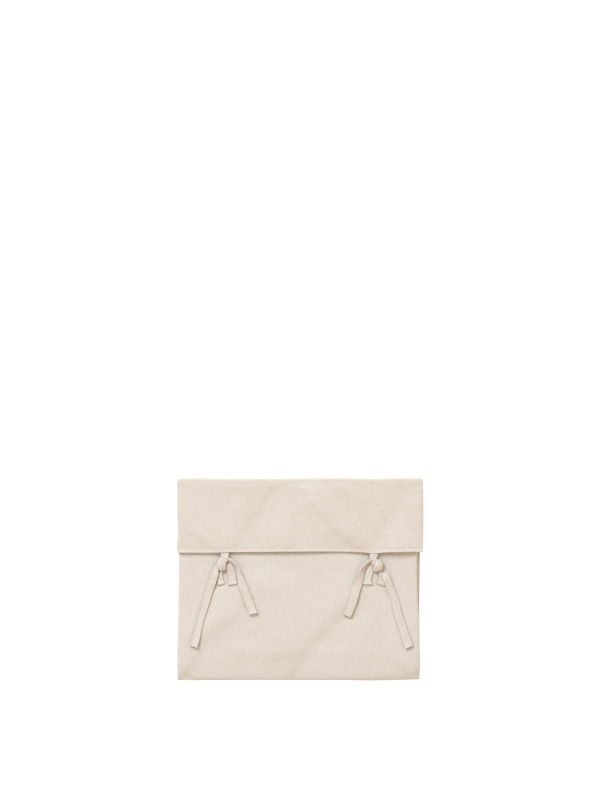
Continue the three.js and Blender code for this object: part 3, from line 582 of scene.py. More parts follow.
# knots: the neck that comes down from under the hem, and the band wound about it
knots = {
    "step": 0.0006,
    "corners": 56,        # points round a band
    "squareness": 2.7,        # 2 would make it oval
    "bunched": (0.0009, 0.0026),        # half the thickness over which pleats and the painted shade on the sides come in
    "facet": (0.0009, 0.0020),        # and over which the right facet comes in
    "pleats": 8.5,        # radians of them from the middle to the edge
    "sway": (1.2, 260.0),        # how far and how quickly they sway along the band
    "under": 0.2,        # below this share of the height it gets painted shade
    "underShare": 0.8,
    "sideFrom": 0.84,        # and along both sides, from this share of the half width on
    "tintFrom": (-0.5, 0.6),        # the painted shade grows from left to right, darkest on the right facet
    "tintLeast": 0.4,
    # lean: degrees; pleats: their depth; fall: how steeply the right facet falls, from the ridge on;
    # tint: how much painted shade it gets, most towards the right facet
    "bands": {
        "left": [
            {
                "name": "left_neck",
                "x": [-0.0950, -0.0950, -0.0950, -0.0949, -0.0948, -0.0943, -0.0937, -0.0932, -0.0931],
                "y": [0.0400, 0.0370, 0.0359, 0.0349, 0.0340, 0.0304, 0.0272, 0.0242, 0.0212],
                "z": [0.0087, 0.0088, 0.0091, 0.0102, 0.0110, 0.0112, 0.0114, 0.0113, 0.0106],
                "width": [0.0104, 0.0104, 0.0104, 0.0105, 0.0107, 0.0099, 0.0084, 0.0062, 0.0028],
                "thick": [0.0011, 0.0011, 0.0011, 0.0012, 0.0013, 0.0016, 0.0022, 0.0026, 0.0022],
                "lean": [0, 0, 0, 0, 0, 6, 16, 30, 38],
                "pleats": 0.00016,
                "fall": 0.0,
                "ridge": 0.0,
                "tint": 0.0,
            },
            {
                "name": "left_knot_band",
                "x": [-0.0966, -0.0976, -0.0982, -0.0982, -0.0975, -0.0967, -0.0963, -0.0961],
                "y": [0.0278, 0.0254, 0.0222, 0.0190, 0.0160, 0.0136, 0.0122, 0.0111],
                "z": [0.0107, 0.0114, 0.0119, 0.0120, 0.0117, 0.0112, 0.0107, 0.0102],
                "width": [0.0036, 0.0074, 0.0112, 0.0121, 0.0114, 0.0100, 0.0086, 0.0066],
                "thick": [0.0016, 0.0034, 0.0048, 0.0056, 0.0055, 0.0048, 0.0040, 0.0028],
                "lean": [0, 4, 8, 10, 10, 8, 4, 0],
                "pleats": 0.00014,
                "fall": 0.30,
                "ridge": -0.001,
                "tint": 0.10,
            },
        ],
        "right": [
            {
                "name": "right_neck",
                "x": [0.0920, 0.0920, 0.0920, 0.0920, 0.0918, 0.0914, 0.0911, 0.0913, 0.0918, 0.0924],
                "y": [0.0400, 0.0358, 0.0346, 0.0335, 0.0326, 0.0292, 0.0256, 0.0222, 0.0192, 0.0168],
                "z": [0.0087, 0.0088, 0.0091, 0.0102, 0.0110, 0.0112, 0.0114, 0.0114, 0.0111, 0.0105],
                "width": [0.0104, 0.0104, 0.0104, 0.0104, 0.0104, 0.0097, 0.0090, 0.0074, 0.0046, 0.0022],
                "thick": [0.0011, 0.0011, 0.0011, 0.0012, 0.0013, 0.0015, 0.0019, 0.0022, 0.0020, 0.0016],
                "lean": [0, 0, 0, 0, 0, 0, 2, 4, 6, 6],
                "pleats": 0.00016,
                "fall": 0.0,
                "ridge": 0.0,
                "tint": 0.0,
            },
            {
                "name": "right_knot_band",
                "x": [0.0966, 0.0974, 0.0981, 0.0981, 0.0976, 0.0969, 0.0966, 0.0966],
                "y": [0.0250, 0.0228, 0.0202, 0.0176, 0.0152, 0.0130, 0.0114, 0.0102],
                "z": [0.0109, 0.0117, 0.0123, 0.0124, 0.0122, 0.0118, 0.0113, 0.0107],
                "width": [0.0030, 0.0068, 0.0104, 0.0121, 0.0125, 0.0122, 0.0114, 0.0098],
                "thick": [0.0016, 0.0032, 0.0046, 0.0054, 0.0056, 0.0053, 0.0046, 0.0034],
                "lean": [8, 8, 6, 4, 4, 4, 4, 4],
                "pleats": 0.00005,
                "fall": 0.24,
                "ridge": -0.0030,
                "tint": 0.20,
            },
        ],
    },
}


def makeBand(spec):        # a strap bunched into a soft round band
    path, rowsAt, length = smoothPath(np.stack([spec["x"], spec["y"], spec["z"]], 1), knots["step"])
    halfWidth = rowValue(spec, "width", rowsAt)[:, None] / 2
    halfThick = rowValue(spec, "thick", rowsAt)[:, None] / 2
    side, up = strapFrames(path, -rowValue(spec, "lean", rowsAt))[1:]        # the right edge lies lower
    run = np.linspace(0, length, len(path))
    seed = sum(map(ord, spec["name"])) * 0.41
    angle = np.radians(np.linspace(0, 360, knots["corners"], endpoint=False))
    power = 2 / knots["squareness"]
    across = np.sign(np.cos(angle)) * np.abs(np.cos(angle)) ** power
    height = np.sign(np.sin(angle)) * np.abs(np.sin(angle)) ** power
    bunch = ramp(halfThick, *knots["bunched"])
    far, quick = knots["sway"]
    pleat = np.cos(across * knots["pleats"] + far * np.sin(run[:, None] * quick + seed))
    wide = halfWidth * across
    fall = spec["fall"] * ramp(halfThick, *knots["facet"]) * np.maximum(wide - spec["ridge"], 0)
    high = halfThick * height + (height > 0) * (spec["pleats"] * bunch * pleat - fall)
    # painted shade under the band, along its sides and on its right facet
    atSide = knots["underShare"] * bunch * ramp(np.abs(across), knots["sideFrom"], 1.0)
    toRight = knots["tintLeast"] + (1 - knots["tintLeast"]) * ramp(across, *knots["tintFrom"])
    paintedShade = np.maximum(np.maximum(height < knots["under"], atSide), spec["tint"] * toRight)
    rings = ringsAbout(path, side, up, wide, high)
    return sweep(spec["name"], rings, clothAlong(wide, run, seed), paintedShade)


knotPieces = []
for sideName, bands in knots["bands"].items():
    knotPieces += [makeBand(spec) for spec in bands]
    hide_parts(sideName + "_flap_tie")
print("two knots are tied")


# the outline of both panels, each side a line of its own
outline = {
    "bottom": {"x": [-0.1536, -0.138, -0.100, -0.050, 0.0, 0.050, 0.100, 0.138, 0.149],
               "y": [-0.1268, -0.1269, -0.1265, -0.1262, -0.1265, -0.1266, -0.1270, -0.1260, -0.1256]},
    "backLeft": {"y": [-0.126, -0.107, -0.076, -0.045, 0.024, 0.100, 0.126],
                 "x": [-0.1541, -0.1545, -0.1541, -0.1532, -0.1527, -0.1531, -0.1538]},
    "backRight": {"y": [-0.126, -0.107, -0.076, -0.026, 0.0, 0.034, 0.100, 0.126],
                  "x": [0.1490, 0.1498, 0.1493, 0.1491, 0.1496, 0.1498, 0.1516, 0.1531]},
    "frontRight": {"y": [-0.126, -0.107, -0.076, -0.052, -0.040, -0.028, -0.014, 0.034, 0.112],
                   "x": [0.1488, 0.1496, 0.1491, 0.1488, 0.1482, 0.1474, 0.1469, 0.1466, 0.1480]},
    "fold": {"x": [-0.1536, -0.132, -0.105, 0.0, 0.040, 0.078, 0.105, 0.130, 0.1536],
             "y": [0.1260, 0.1270, 0.1263, 0.1265, 0.1273, 0.1264, 0.1265, 0.1272, 0.1267]},
    "hem": {"x": [-0.1536, -0.144, -0.125, -0.108, -0.0946, -0.078, -0.060, -0.020, 0.030, 0.050, 0.062,
                  0.078, 0.0929, 0.106, 0.131, 0.1536],
            "y": [0.0334, 0.0334, 0.0332, 0.0334, 0.0339, 0.0341, 0.0342, 0.0346, 0.0349, 0.0347, 0.0343,
                  0.0337, 0.0325, 0.0339, 0.0343, 0.0347]},
    "flapLeft": {"y": [0.033, 0.043, 0.054, 0.080, 0.118, 0.126],
                 "x": [-0.1541, -0.1545, -0.1536, -0.1539, -0.1544, -0.1539]},
    "flapRight": {"y": [0.033, 0.060, 0.080, 0.110, 0.126],
                  "x": [0.1532, 0.1537, 0.1538, 0.1535, 0.1531]},
}


def edgeAt(name, at):
    table = outline[name]
    keys = ("x", "y") if name in ("bottom", "fold", "hem") else ("y", "x")
    return along(table, keys[0], keys[1], at)


def unrolled(grid):        # lengths along the cloth, so that the weave runs round the rolls
    flat = np.zeros_like(grid)
    middle = grid.shape[1] // 2
    for axis, way, fixed in ((0, 1, middle), (1, 0, -1)):        # fixed: the row that keeps its place
        steps = np.linalg.norm(np.diff(grid[..., [axis, 2]], axis=way), axis=2)
        run = np.insert(np.cumsum(steps, axis=way), 0, 0, axis=way)
        flat[..., axis] = np.take(grid[..., axis], [fixed], axis=way) + run - np.take(run, [fixed], axis=way)
    return flat


def makeFront():
    roll, bottom, mouth, power = front["roll"], front["bottom"], front["mouth"], front["rollPower"]
    turns = np.radians(np.linspace(0, 90, front["rollSteps"]))
    lifted, inward = np.sin(turns) ** power, 1 - np.cos(turns) ** power
    sideways = np.linspace(0, 1, front["columns"] + 1)[1:-1]
    upward = np.linspace(0, 1, front["rows"] + 1)[1:]
    rise = np.concatenate([lifted, np.ones(len(sideways)), lifted[::-1]])        # of each column
    climb = np.concatenate([lifted, np.ones(len(upward))])[:, None]        # of each row
    square = front["cornerPower"]
    corner = ((1 - climb) ** square + (1 - rise) ** square) ** (1 / square)
    share = np.clip(1 - corner, 0, 1)
    onTop = ramp(np.minimum(climb, rise), 0.6, 1.0)

    def gridOf(deep):        # the outer face, or the inner one that lies deep inside it
        inset = deep + (roll - deep) * inward
        nominal = np.concatenate([bottom + inset, bottom + roll + upward * (mouth - bottom - roll)])
        left, right = edgeAt("backLeft", nominal)[:, None], edgeAt("frontRight", nominal)[:, None]
        middle = left + roll + (right - left - 2 * roll) * sideways
        x = np.concatenate([left + inset, middle, right - inset[::-1]], 1)
        low = edgeAt("bottom", x[0])
        y = np.concatenate([low + inset[:, None], low + roll + upward[:, None] * (mouth - low - roll)])
        top = frontHeight(x, y) - foldDepth(front["marks"], x, y)
        top = top + front["uneven"] * onTop * ripple(x, y, front["unevenSize"], 3.1)
        return np.stack([x, y, front["seam"] + (top - front["seam"] - deep) * share], -1)

    outer = gridOf(0)
    # the inner face of the front panel gets the full painted shade
    piece = thinSheet("front_panel_cloth", outer, gridOf(front["thick"]), unrolled(outer), 1.0)
    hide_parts("front_panel")
    return piece


frontPiece = makeFront()
print("front panel is laid")


# back panel and flap: one cloth, flat below, folded over the top and down the front
flap = {
    "bottom": -0.126,
    "foldAt": 0.1214,        # where the back begins to turn over
    "foldTop": 0.0098,
    "foldReach": 0.0046,
    "foldPower": 0.74,
    "foldRound": 0.0222,        # the cloth's length round the fold
    "hemAt": 0.033,
    "length": 0.087,
    "thick": 0.0011,
    "hemThick": 0.0016,
    "hemEnds": (0.0058, 0.0070),        # where the turned hem ends, from and to
    "hemCurl": 0.0010,        # the hem turns up towards its edge
    "hemCurlReach": 0.0052,
    "hemStraight": 0.015,        # so far up the rows follow the hem
    "sideThick": 0.0016,
    "sideEnds": (0.0056, 0.0066),
    "stitchUp": 0.0046,        # from the hem's edge to its line of stitches
    "groove": 0.00012,
    "aboveTie": 0.01107,        # the hem's height, where it lies on the ties
    "liftReach": 0.048,
    "sagReach": 0.030,
    "settleReach": 0.0092,
    "droop": 0.0006,        # of both sides
    "droopReach": 0.003,
    "waves": ((0.00014, 0.018, 8.7), (0.0002, 0.045, 2.3)),        # unevenness: height, size and seed
    "columns": 201,
    "pitch": 0.0015,
    "edgeSteps": (0, 0.00015, 0.0004, 0.0008, 0.0014, 0.0024),        # points are closer at the sides
    "backRows": 82,
    "foldRows": 27,
    "hemStep": 0.0005,        # rows are closer near the hem, up to the first of these heights
    "hemRows": (0.0125, 0.013),
    "leastRound": (0.04, 0.03),        # what is left of the thickness at a rounded edge: back, flap
    "soft": 0.0006,        # the reach of the groove and of the tie ends' outlines
    "flapRows": 49,
    "flat": (0.319, 0.371),
    "hemLift": {"x": [-0.1536, -0.140, -0.125, -0.113, -0.0946, -0.070, -0.030, 0.010, 0.030, 0.050, 0.068,
                      0.080, 0.0929, 0.103, 0.113, 0.131, 0.1536],
                "lift": [-0.0004, -0.0005, -0.0008, -0.0006, -0.0009, -0.0001, -0.0001, -0.0004, -0.0011,
                         -0.0015, -0.0018, -0.0014, -0.0008, 0.0009, 0.0018, 0.0014, 0.0011]},
    "folds": [
        ([(0.014, 0.0985), (0.026, 0.085), (0.04, 0.0712), (0.056, 0.0562), (0.069, 0.043)],
         (0.015, 0.0044), -0.00095),
        ([(-0.036, 0.119), (-0.052, 0.096), (-0.068, 0.071), (-0.082, 0.049)], (0.0055, 0.013), -0.00045),
        ([(-0.02, 0.113), (-0.039, 0.099), (-0.05, 0.08), (-0.066, 0.056), (-0.079, 0.035)],
         (0.021, 0.013), 0.00122),
        ([(0.017, 0.096), (0.033, 0.081), (0.054, 0.062), (0.076, 0.041)], (0.025, 0.01), -0.00127),
        ([(0.045, 0.123), (0.066, 0.104), (0.082, 0.087), (0.094, 0.066)], (0.015, 0.0065), -0.0012),
        ([(0.14, 0.123), (0.124, 0.097), (0.113, 0.071), (0.104, 0.043)], (0.013, 0.011), 0.00092),
        ([(-0.144, 0.067), (-0.124, 0.055), (-0.103, 0.041)], (0.026, 0.007), -0.00126),
        ([(-0.149, 0.085), (-0.136, 0.075), (-0.12, 0.059), (-0.103, 0.036)], (0.022, 0.0075), -0.0011),
        ([(-0.114, 0.125), (-0.108, 0.107), (-0.1, 0.08)], (0.026, 0.011), 0.00058),
        ([(-0.111, 0.117), (-0.066, 0.117)], (0.006, 0.007), -0.00064),
        ([(-0.015, 0.114), (-0.014, 0.077), (-0.018, 0.042)], (0.007, 0.013), -0.0006),
        ([(-0.071, 0.044), (-0.023, 0.055), (0.017, 0.047)], (0.026, 0.026), -0.00059),
        ([(0.15, 0.117), (0.149, 0.059)], (0.004, 0.026), -0.0002),
        ([(0.001, 0.114), (0.017, 0.098), (0.038, 0.079), (0.062, 0.063)], (0.015, 0.021), -0.00136),
        ([(0.102, 0.033), (0.123, 0.056), (0.147, 0.077)], (0.018, 0.026), -0.00076),
        ([(-0.097, 0.106), (-0.078, 0.119)], (0.009, 0.006), -0.00019),
    ],
    "marks": [        # puckers over the ties and at the corners of the hem
        ([(0.0982, 0.0375), (0.1001, 0.05), (0.1006, 0.0543)], 0.0011, 0.00034),
        ([(0.1016, 0.05), (0.105, 0.056), (0.11, 0.057), (0.1187, 0.0652)], 0.0016, -0.0003),
        ([(0.0841, 0.048), (0.0873, 0.0395)], 0.0012, 0.00018),
        ([(-0.1495, 0.0525), (-0.1428, 0.0475)], 0.0013, -0.0004),
        ([(-0.1434, 0.0492), (-0.1406, 0.0462)], 0.0011, 0.0004),
        ([(-0.1505, 0.04), (-0.1365, 0.039)], 0.0014, 0.00028),
        ([(-0.133, 0.044), (-0.129, 0.0385)], 0.0014, 0.0002),
        ([(0.137, 0.0386), (0.1515, 0.0386)], 0.0008, 0.0003),
        ([(0.139, 0.038), (0.144, 0.0352)], 0.001, -0.00025),
        ([(0.0342, 0.119), (0.0386, 0.115)], 0.001, 0.00025),
        ([(0.149, 0.0465), (0.15, 0.04)], 0.0011, 0.0002),
    ],
    "tieEnds": [        # the sewn ends of the ties, under the hem
        {"x": -0.0959, "top": 0.0424, "half": 0.0053, "height": 0.00022},
        {"x": 0.0929, "top": 0.0420, "half": 0.0052, "height": 0.00010},
    ],
}


def flapHeight(x, y, fromHem, fromSide):
    lifted = (flap["aboveTie"] - flap["foldTop"]) * (1 - ramp(fromHem, 0, flap["liftReach"]))
    lifted = lifted + along(flap["hemLift"], "x", "lift", x) * (1 - ramp(fromHem, 0, flap["sagReach"]))
    droop = flap["droop"] * (1 - ramp(fromSide, 0, flap["droopReach"]))
    return flap["foldTop"] + lifted - droop - foldDepth(flap["folds"], x, y)


def flapDetail(x, y, fromHem):        # what is finer than the fold lines
    soft = flap["soft"]
    detail = flap["hemCurl"] * np.clip(1 - fromHem / flap["hemCurlReach"], 0, 1) ** 2
    detail = detail - flap["groove"] * hill(fromHem - flap["stitchUp"], soft)
    for end in flap["tieEnds"]:
        beside, above = np.abs(x - end["x"]) - end["half"], y - end["top"]
        detail = detail + end["height"] * (1 - ramp(beside, -soft, soft)) * (1 - ramp(above, -soft, soft))
    for height, size, seed in flap["waves"]:
        detail = detail + height * ripple(x, y, size, seed)
    return detail - foldDepth(flap["marks"], x, y)


def columnsOf(left, right):        # places from side to side
    edge = np.array(flap["edgeSteps"])
    start, end = left + edge[-1] + flap["pitch"], right - edge[-1] - flap["pitch"]
    middle = start + (end - start) * np.linspace(0, 1, flap["columns"] + 1)
    return np.concatenate([left + edge, middle, right - edge[::-1]])


def rowOf(x, y, z):
    return np.stack(np.broadcast_arrays(x, y, z), 1)


def backRows():        # each row: the outer face, the inner face and the flat cloth
    edge, radius = flap["edgeSteps"], flap["thick"] / 2
    tall = flap["foldAt"] - flap["bottom"]
    for up in [*edge[:-1], *np.linspace(edge[-1], tall, flap["backRows"])]:
        nominal = flap["bottom"] + up
        x = columnsOf(edgeAt("backLeft", nominal), edgeAt("backRight", nominal))
        low, high = edgeAt("bottom", x), edgeAt("fold", x) - flap["foldReach"]
        y = low + (high - low) * up / tall
        fromEdge = np.minimum(np.minimum(x - x[0], x[-1] - x), up)
        bulge = radius * roundedEdge(fromEdge, radius, flap["leastRound"][0])
        yield rowOf(x, y, radius - bulge), rowOf(x, y, radius + bulge), rowOf(x, up, 0)


def foldRows():
    travel = flap["foldAt"] - flap["bottom"]
    radius, half = flap["thick"] / 2, flap["foldTop"] / 2
    x = columnsOf(outline["flapLeft"]["x"][-1], outline["flapRight"]["x"][-1])
    centre = edgeAt("fold", x) - flap["foldReach"]
    fromSide = np.minimum(x - x[0], x[-1] - x)
    shave = radius * (1 - roundedEdge(fromSide, radius, flap["leastRound"][0]))
    for turn in np.radians(np.linspace(-90, 90, flap["foldRows"])[1:-1]):
        ahead = math.cos(turn) ** flap["foldPower"]
        lift = math.copysign(abs(math.sin(turn)) ** flap["foldPower"], turn)
        outer, inner = (
            rowOf(x, centre + (flap["foldReach"] - inset) * ahead, half + (half - inset) * lift)
            for inset in (shave, flap["thick"] - shave)
        )
        yield outer, inner, rowOf(x, travel + (turn / math.pi + 0.5) * flap["foldRound"], 0)


def flapRows():
    thick, length, straight = flap["thick"], flap["length"], flap["hemStraight"]
    travel = flap["foldAt"] - flap["bottom"] + flap["foldRound"] + length
    radius = flap["hemThick"] / 2
    lip = radius * (1 - np.cos(np.radians(np.linspace(0, 90, 7))))
    nearHem = np.arange(radius + flap["hemStep"], flap["hemRows"][0], flap["hemStep"])
    rest = np.linspace(flap["hemRows"][1], length, flap["flapRows"])
    for fromHem in np.concatenate([lip, nearHem, rest])[::-1]:
        nominal = flap["hemAt"] + (flap["foldAt"] - flap["hemAt"]) * fromHem / length
        left, right = edgeAt("flapLeft", nominal), edgeAt("flapRight", nominal)
        x = columnsOf(left, right)
        hem, fold = edgeAt("hem", x), edgeAt("fold", x) - flap["foldReach"]
        beyond = max(fromHem - straight, 0) / (length - straight)
        y = hem + min(fromHem, straight) + (fold - hem - straight) * beyond
        fromSide = np.minimum(x - left, right - x)
        settled = 1 - ramp(fromHem, length - flap["settleReach"], length)        # it runs on from the fold
        top = flapHeight(x, y, fromHem, fromSide) + flapDetail(x, y, fromHem)
        top = flap["foldTop"] + (top - flap["foldTop"]) * settled
        hemmed = 1 - ramp(fromHem, *flap["hemEnds"])
        sided = (1 - ramp(fromSide, *flap["sideEnds"])) * settled
        deep = thick + np.maximum((flap["hemThick"] - thick) * hemmed, (flap["sideThick"] - thick) * sided)
        rounded = roundedEdge(np.minimum(fromHem, fromSide), deep / 2, flap["leastRound"][1])
        shave = deep / 2 * (1 - rounded)
        yield rowOf(x, y, top - shave), rowOf(x, y, top - deep + shave), rowOf(x, travel - fromHem, 0)


def makeBackAndFlap():
    rows = [*backRows(), *foldRows(), *flapRows()]
    outer, inner, flat = (np.array(grid) for grid in zip(*rows))
    # the inside of the back and flap gets a little painted shade
    piece = thinSheet("back_panel_and_flap_cloth", outer, inner, flat, 0.15)
    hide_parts("back_panel_and_flap")
    return piece


backPiece = makeBackAndFlap()
print("back panel is folded over into the flap")


# stitching: short threads that lie in the grooves
thread = {
    "long": 0.0025,
    "gap": 0.0006,
    "radius": 0.00021,
    "sink": 0.00006,
    "rings": 5,
    "corners": 6,
    "slim": 0.55,        # its ends, as a share of the radius
    "rise": (1.3, 0.6),        # its arch, and how deep its ends are, in radii
    "hemRow": (-0.1490, 0.1485, 0.0008),        # from, to, and the step
    "halfFlap": 0.1534,        # half the width of the flap at its hem
    "tieFromSide": 0.05,
    "tieRow": (-0.1014, -0.0906, 0.0004),        # where the left tie is sewn on
    "tieRows": {"tie_stitching_upper": 0.0416, "tie_stitching_lower": 0.0390},
    "tailsFrom": 0.012,        # the tails' stitches begin this far from the knot
}


def threadRow(name, points, normals):
    rings, corners, pace = thread["rings"], thread["corners"], thread["long"] + thread["gap"]
    run = runAlong(points)
    turns = 2 * math.pi * np.arange(corners) / corners
    bow = np.sin(np.linspace(0, math.pi, rings))        # each thread rises in the middle
    radius = thread["radius"] * (thread["slim"] + (1 - thread["slim"]) * bow)[:, None]
    arch, deep = thread["rise"]
    raised = thread["radius"] * (arch * bow - deep) - thread["sink"]
    index, one = ringFaces(rings, corners)
    one += [index[0, ::-1].tolist(), index[-1].tolist()]
    vertices, faces, cloth = [], [], []
    for number in range(int(run[-1] / pace)):
        places = number * pace + thread["gap"] + np.linspace(0, thread["long"], rings)
        centre, normal = readAlong(places, run, points), unit(readAlong(places, run, normals))
        side = np.cross(normal, unit(np.gradient(centre, axis=0)))
        centre = centre + normal * raised[:, None]
        vertices.append(ringsAbout(centre, side, normal, radius * np.cos(turns), radius * np.sin(turns)))
        cloth.append(clothAlong(turns * radius, places, 0))
        faces += [[number * index.size + corner for corner in face] for face in one]
    return buildMesh(name, np.reshape(vertices, (-1, 3)), faces, np.array(cloth), 0)


def flapPoints(x, y, fromHem, fromSide):        # the flap's face and its normals
    step = 0.0005
    height = flapHeight(x, y, fromHem, fromSide)
    slope = (flapHeight(x, y + step, fromHem + step, fromSide) - height) / step
    return rowOf(x, y, height + flapDetail(x, y, fromHem)), rowOf(0 * x, -slope, 1)


def stitchFlap():
    x = np.arange(*thread["hemRow"])
    fromHem = np.full_like(x, flap["stitchUp"])
    points = flapPoints(x, edgeAt("hem", x) + fromHem, fromHem, thread["halfFlap"] - np.abs(x))
    made = [threadRow("hem_stitching", *points)]
    x = np.arange(*thread["tieRow"])
    fromSide = np.full_like(x, thread["tieFromSide"])
    for name, up in thread["tieRows"].items():
        y = np.full_like(x, up)
        made.append(threadRow(name, *flapPoints(x, y, y - edgeAt("hem", x), fromSide)))
    return made


def stitchTail(name, route):
    path, side, up, run, halfWidth = tailRuns[name]
    keep = run > thread["tailsFrom"]
    offset = (route["stitches"][0] * 2 - 1) * halfWidth
    height = tails["thick"] / 2 - tails["groove"] + thread["sink"] + creaseHeight(route, run, offset)
    points = path + side * offset[:, None] + up * height[:, None]
    return threadRow(name + "_stitching", points[keep], up[keep])


threadPieces = stitchFlap() + [stitchTail(name, route) for name, route in tails["routes"].items()]
print("stitching is sewn")


# finishes

class Wire:        # a socket that adds and multiplies like a number
    def __init__(self, finish, socket):
        self.finish = finish
        self.socket = socket

    def output(self, which):        # another output of the same node
        return Wire(self.finish, self.socket.node.outputs[which])

    def __add__(self, other):
        return self.finish.maths("ADD", self, other)

    def __radd__(self, other):
        return self.finish.maths("ADD", other, self)

    def __sub__(self, other):
        return self.finish.maths("SUBTRACT", self, other)

    def __rsub__(self, other):
        return self.finish.maths("SUBTRACT", other, self)

    def __mul__(self, other):
        return self.finish.maths("MULTIPLY", self, other)

    def __rmul__(self, other):
        return self.finish.maths("MULTIPLY", other, self)

    def __truediv__(self, other):
        return self.finish.maths("DIVIDE", self, other)

    def __rtruediv__(self, other):
        return self.finish.maths("DIVIDE", other, self)


class Finish:
    def __init__(self, name, settings):
        self.material = bpy.data.materials.new(name)
        self.material.use_nodes = True
        self.tree = self.material.node_tree
        self.shader = self.tree.nodes["Principled BSDF"]
        for key, value in settings.items():
            self.shader.inputs[key].default_value = value

    def node(self, kind, settings, values, output=0):
        made = self.tree.nodes.new(kind)
        for key, value in settings.items():
            setattr(made, key, value)
        for key, value in values.items() if isinstance(values, dict) else enumerate(values):
            if isinstance(value, Wire):
                self.tree.links.new(value.socket, made.inputs[key])
            else:
                made.inputs[key].default_value = value
        return Wire(self, made.outputs[output])

    def maths(self, operation, *values):
        return self.node("ShaderNodeMath", {"operation": operation}, values)

    def mix(self, share, first, second):        # of two colours
        return self.node("ShaderNodeMix", {"data_type": "RGBA"}, {0: share, 6: first, 7: second}, 2)

    def noise(self, place, scale, detail, roughness=0.5):
        values = {"Vector": place, "Scale": scale, "Detail": detail, "Roughness": roughness}
        return self.node("ShaderNodeTexNoise", {"noise_dimensions": "3D"}, values)

    def attribute(self, name, output):
        return self.node("ShaderNodeAttribute", {"attribute_name": name}, (), output)

    def feed(self, name, wire):
        self.tree.links.new(wire.socket, self.shader.inputs[name])


canvas = {
    "colour": (0.663, 0.545, 0.437, 1),
    "shade": (0.470, 0.308, 0.168, 1),
    "pale": (0.771, 0.695, 0.648, 1),
    "fleck": (0.32, 0.21, 0.12, 1),
    "paintedShade": (0.44, 0.30, 0.18, 1),        # painted shade: the browner colour painted under the cloth, round its edges, in the knots and on inner faces
    "paintedShadeShare": 0.85,
    "warpPitch": 0.00058,
    "weftPitch": 0.00064,
    "drift": (170.0, 0.55),        # how quickly and how far the threads wander
    "dip": 0.65,        # how much lower a thread is where it runs under
    "slubs": ((1500.0, 90.0, 1.7), (90.0, 1400.0, 5.3)),        # thick and thin places along the threads
    "mottle": (260.0, 3.0, 0.65),
    "slow": (22.0, 2.0),
    # large and small flecks: the cell that one may be in, the share of cells, size, seed and strength
    "flecks": ((0.0058, 0.24, 0.13, 0.31, 1.0), (0.0021, 0.10, 0.24, 1.13, 0.75)),
    "fleckEdge": 0.35,        # inside this share of its size a fleck is full
    # weave: the tops of the threads are painted paler and the hollows between them darker, painted shade in the
    # weave; dark: the offset that balances it
    "tint": {"streak": 0.9, "mottle": 0.7, "slow": 0.25, "weave": 0.16, "dark": 0.08},
    "relief": {"streak": 0.9, "mottle": 0.5},
    "bump": 0.00011,
    "kinds": {        # how light each cloth is, and how strong its grain
        "panel_canvas": (0.0, 1.0),
        # painted light: the front panel's canvas is painted lighter than the same canvas of the flap and back
        "front_canvas": (0.10, 1.3),
        "tie_canvas": (0.06, 1.0),
    },
    "surface": {"Roughness": 0.92, "Sheen Weight": 0.18, "Sheen Roughness": 0.5, "Specular IOR Level": 0.25},
}


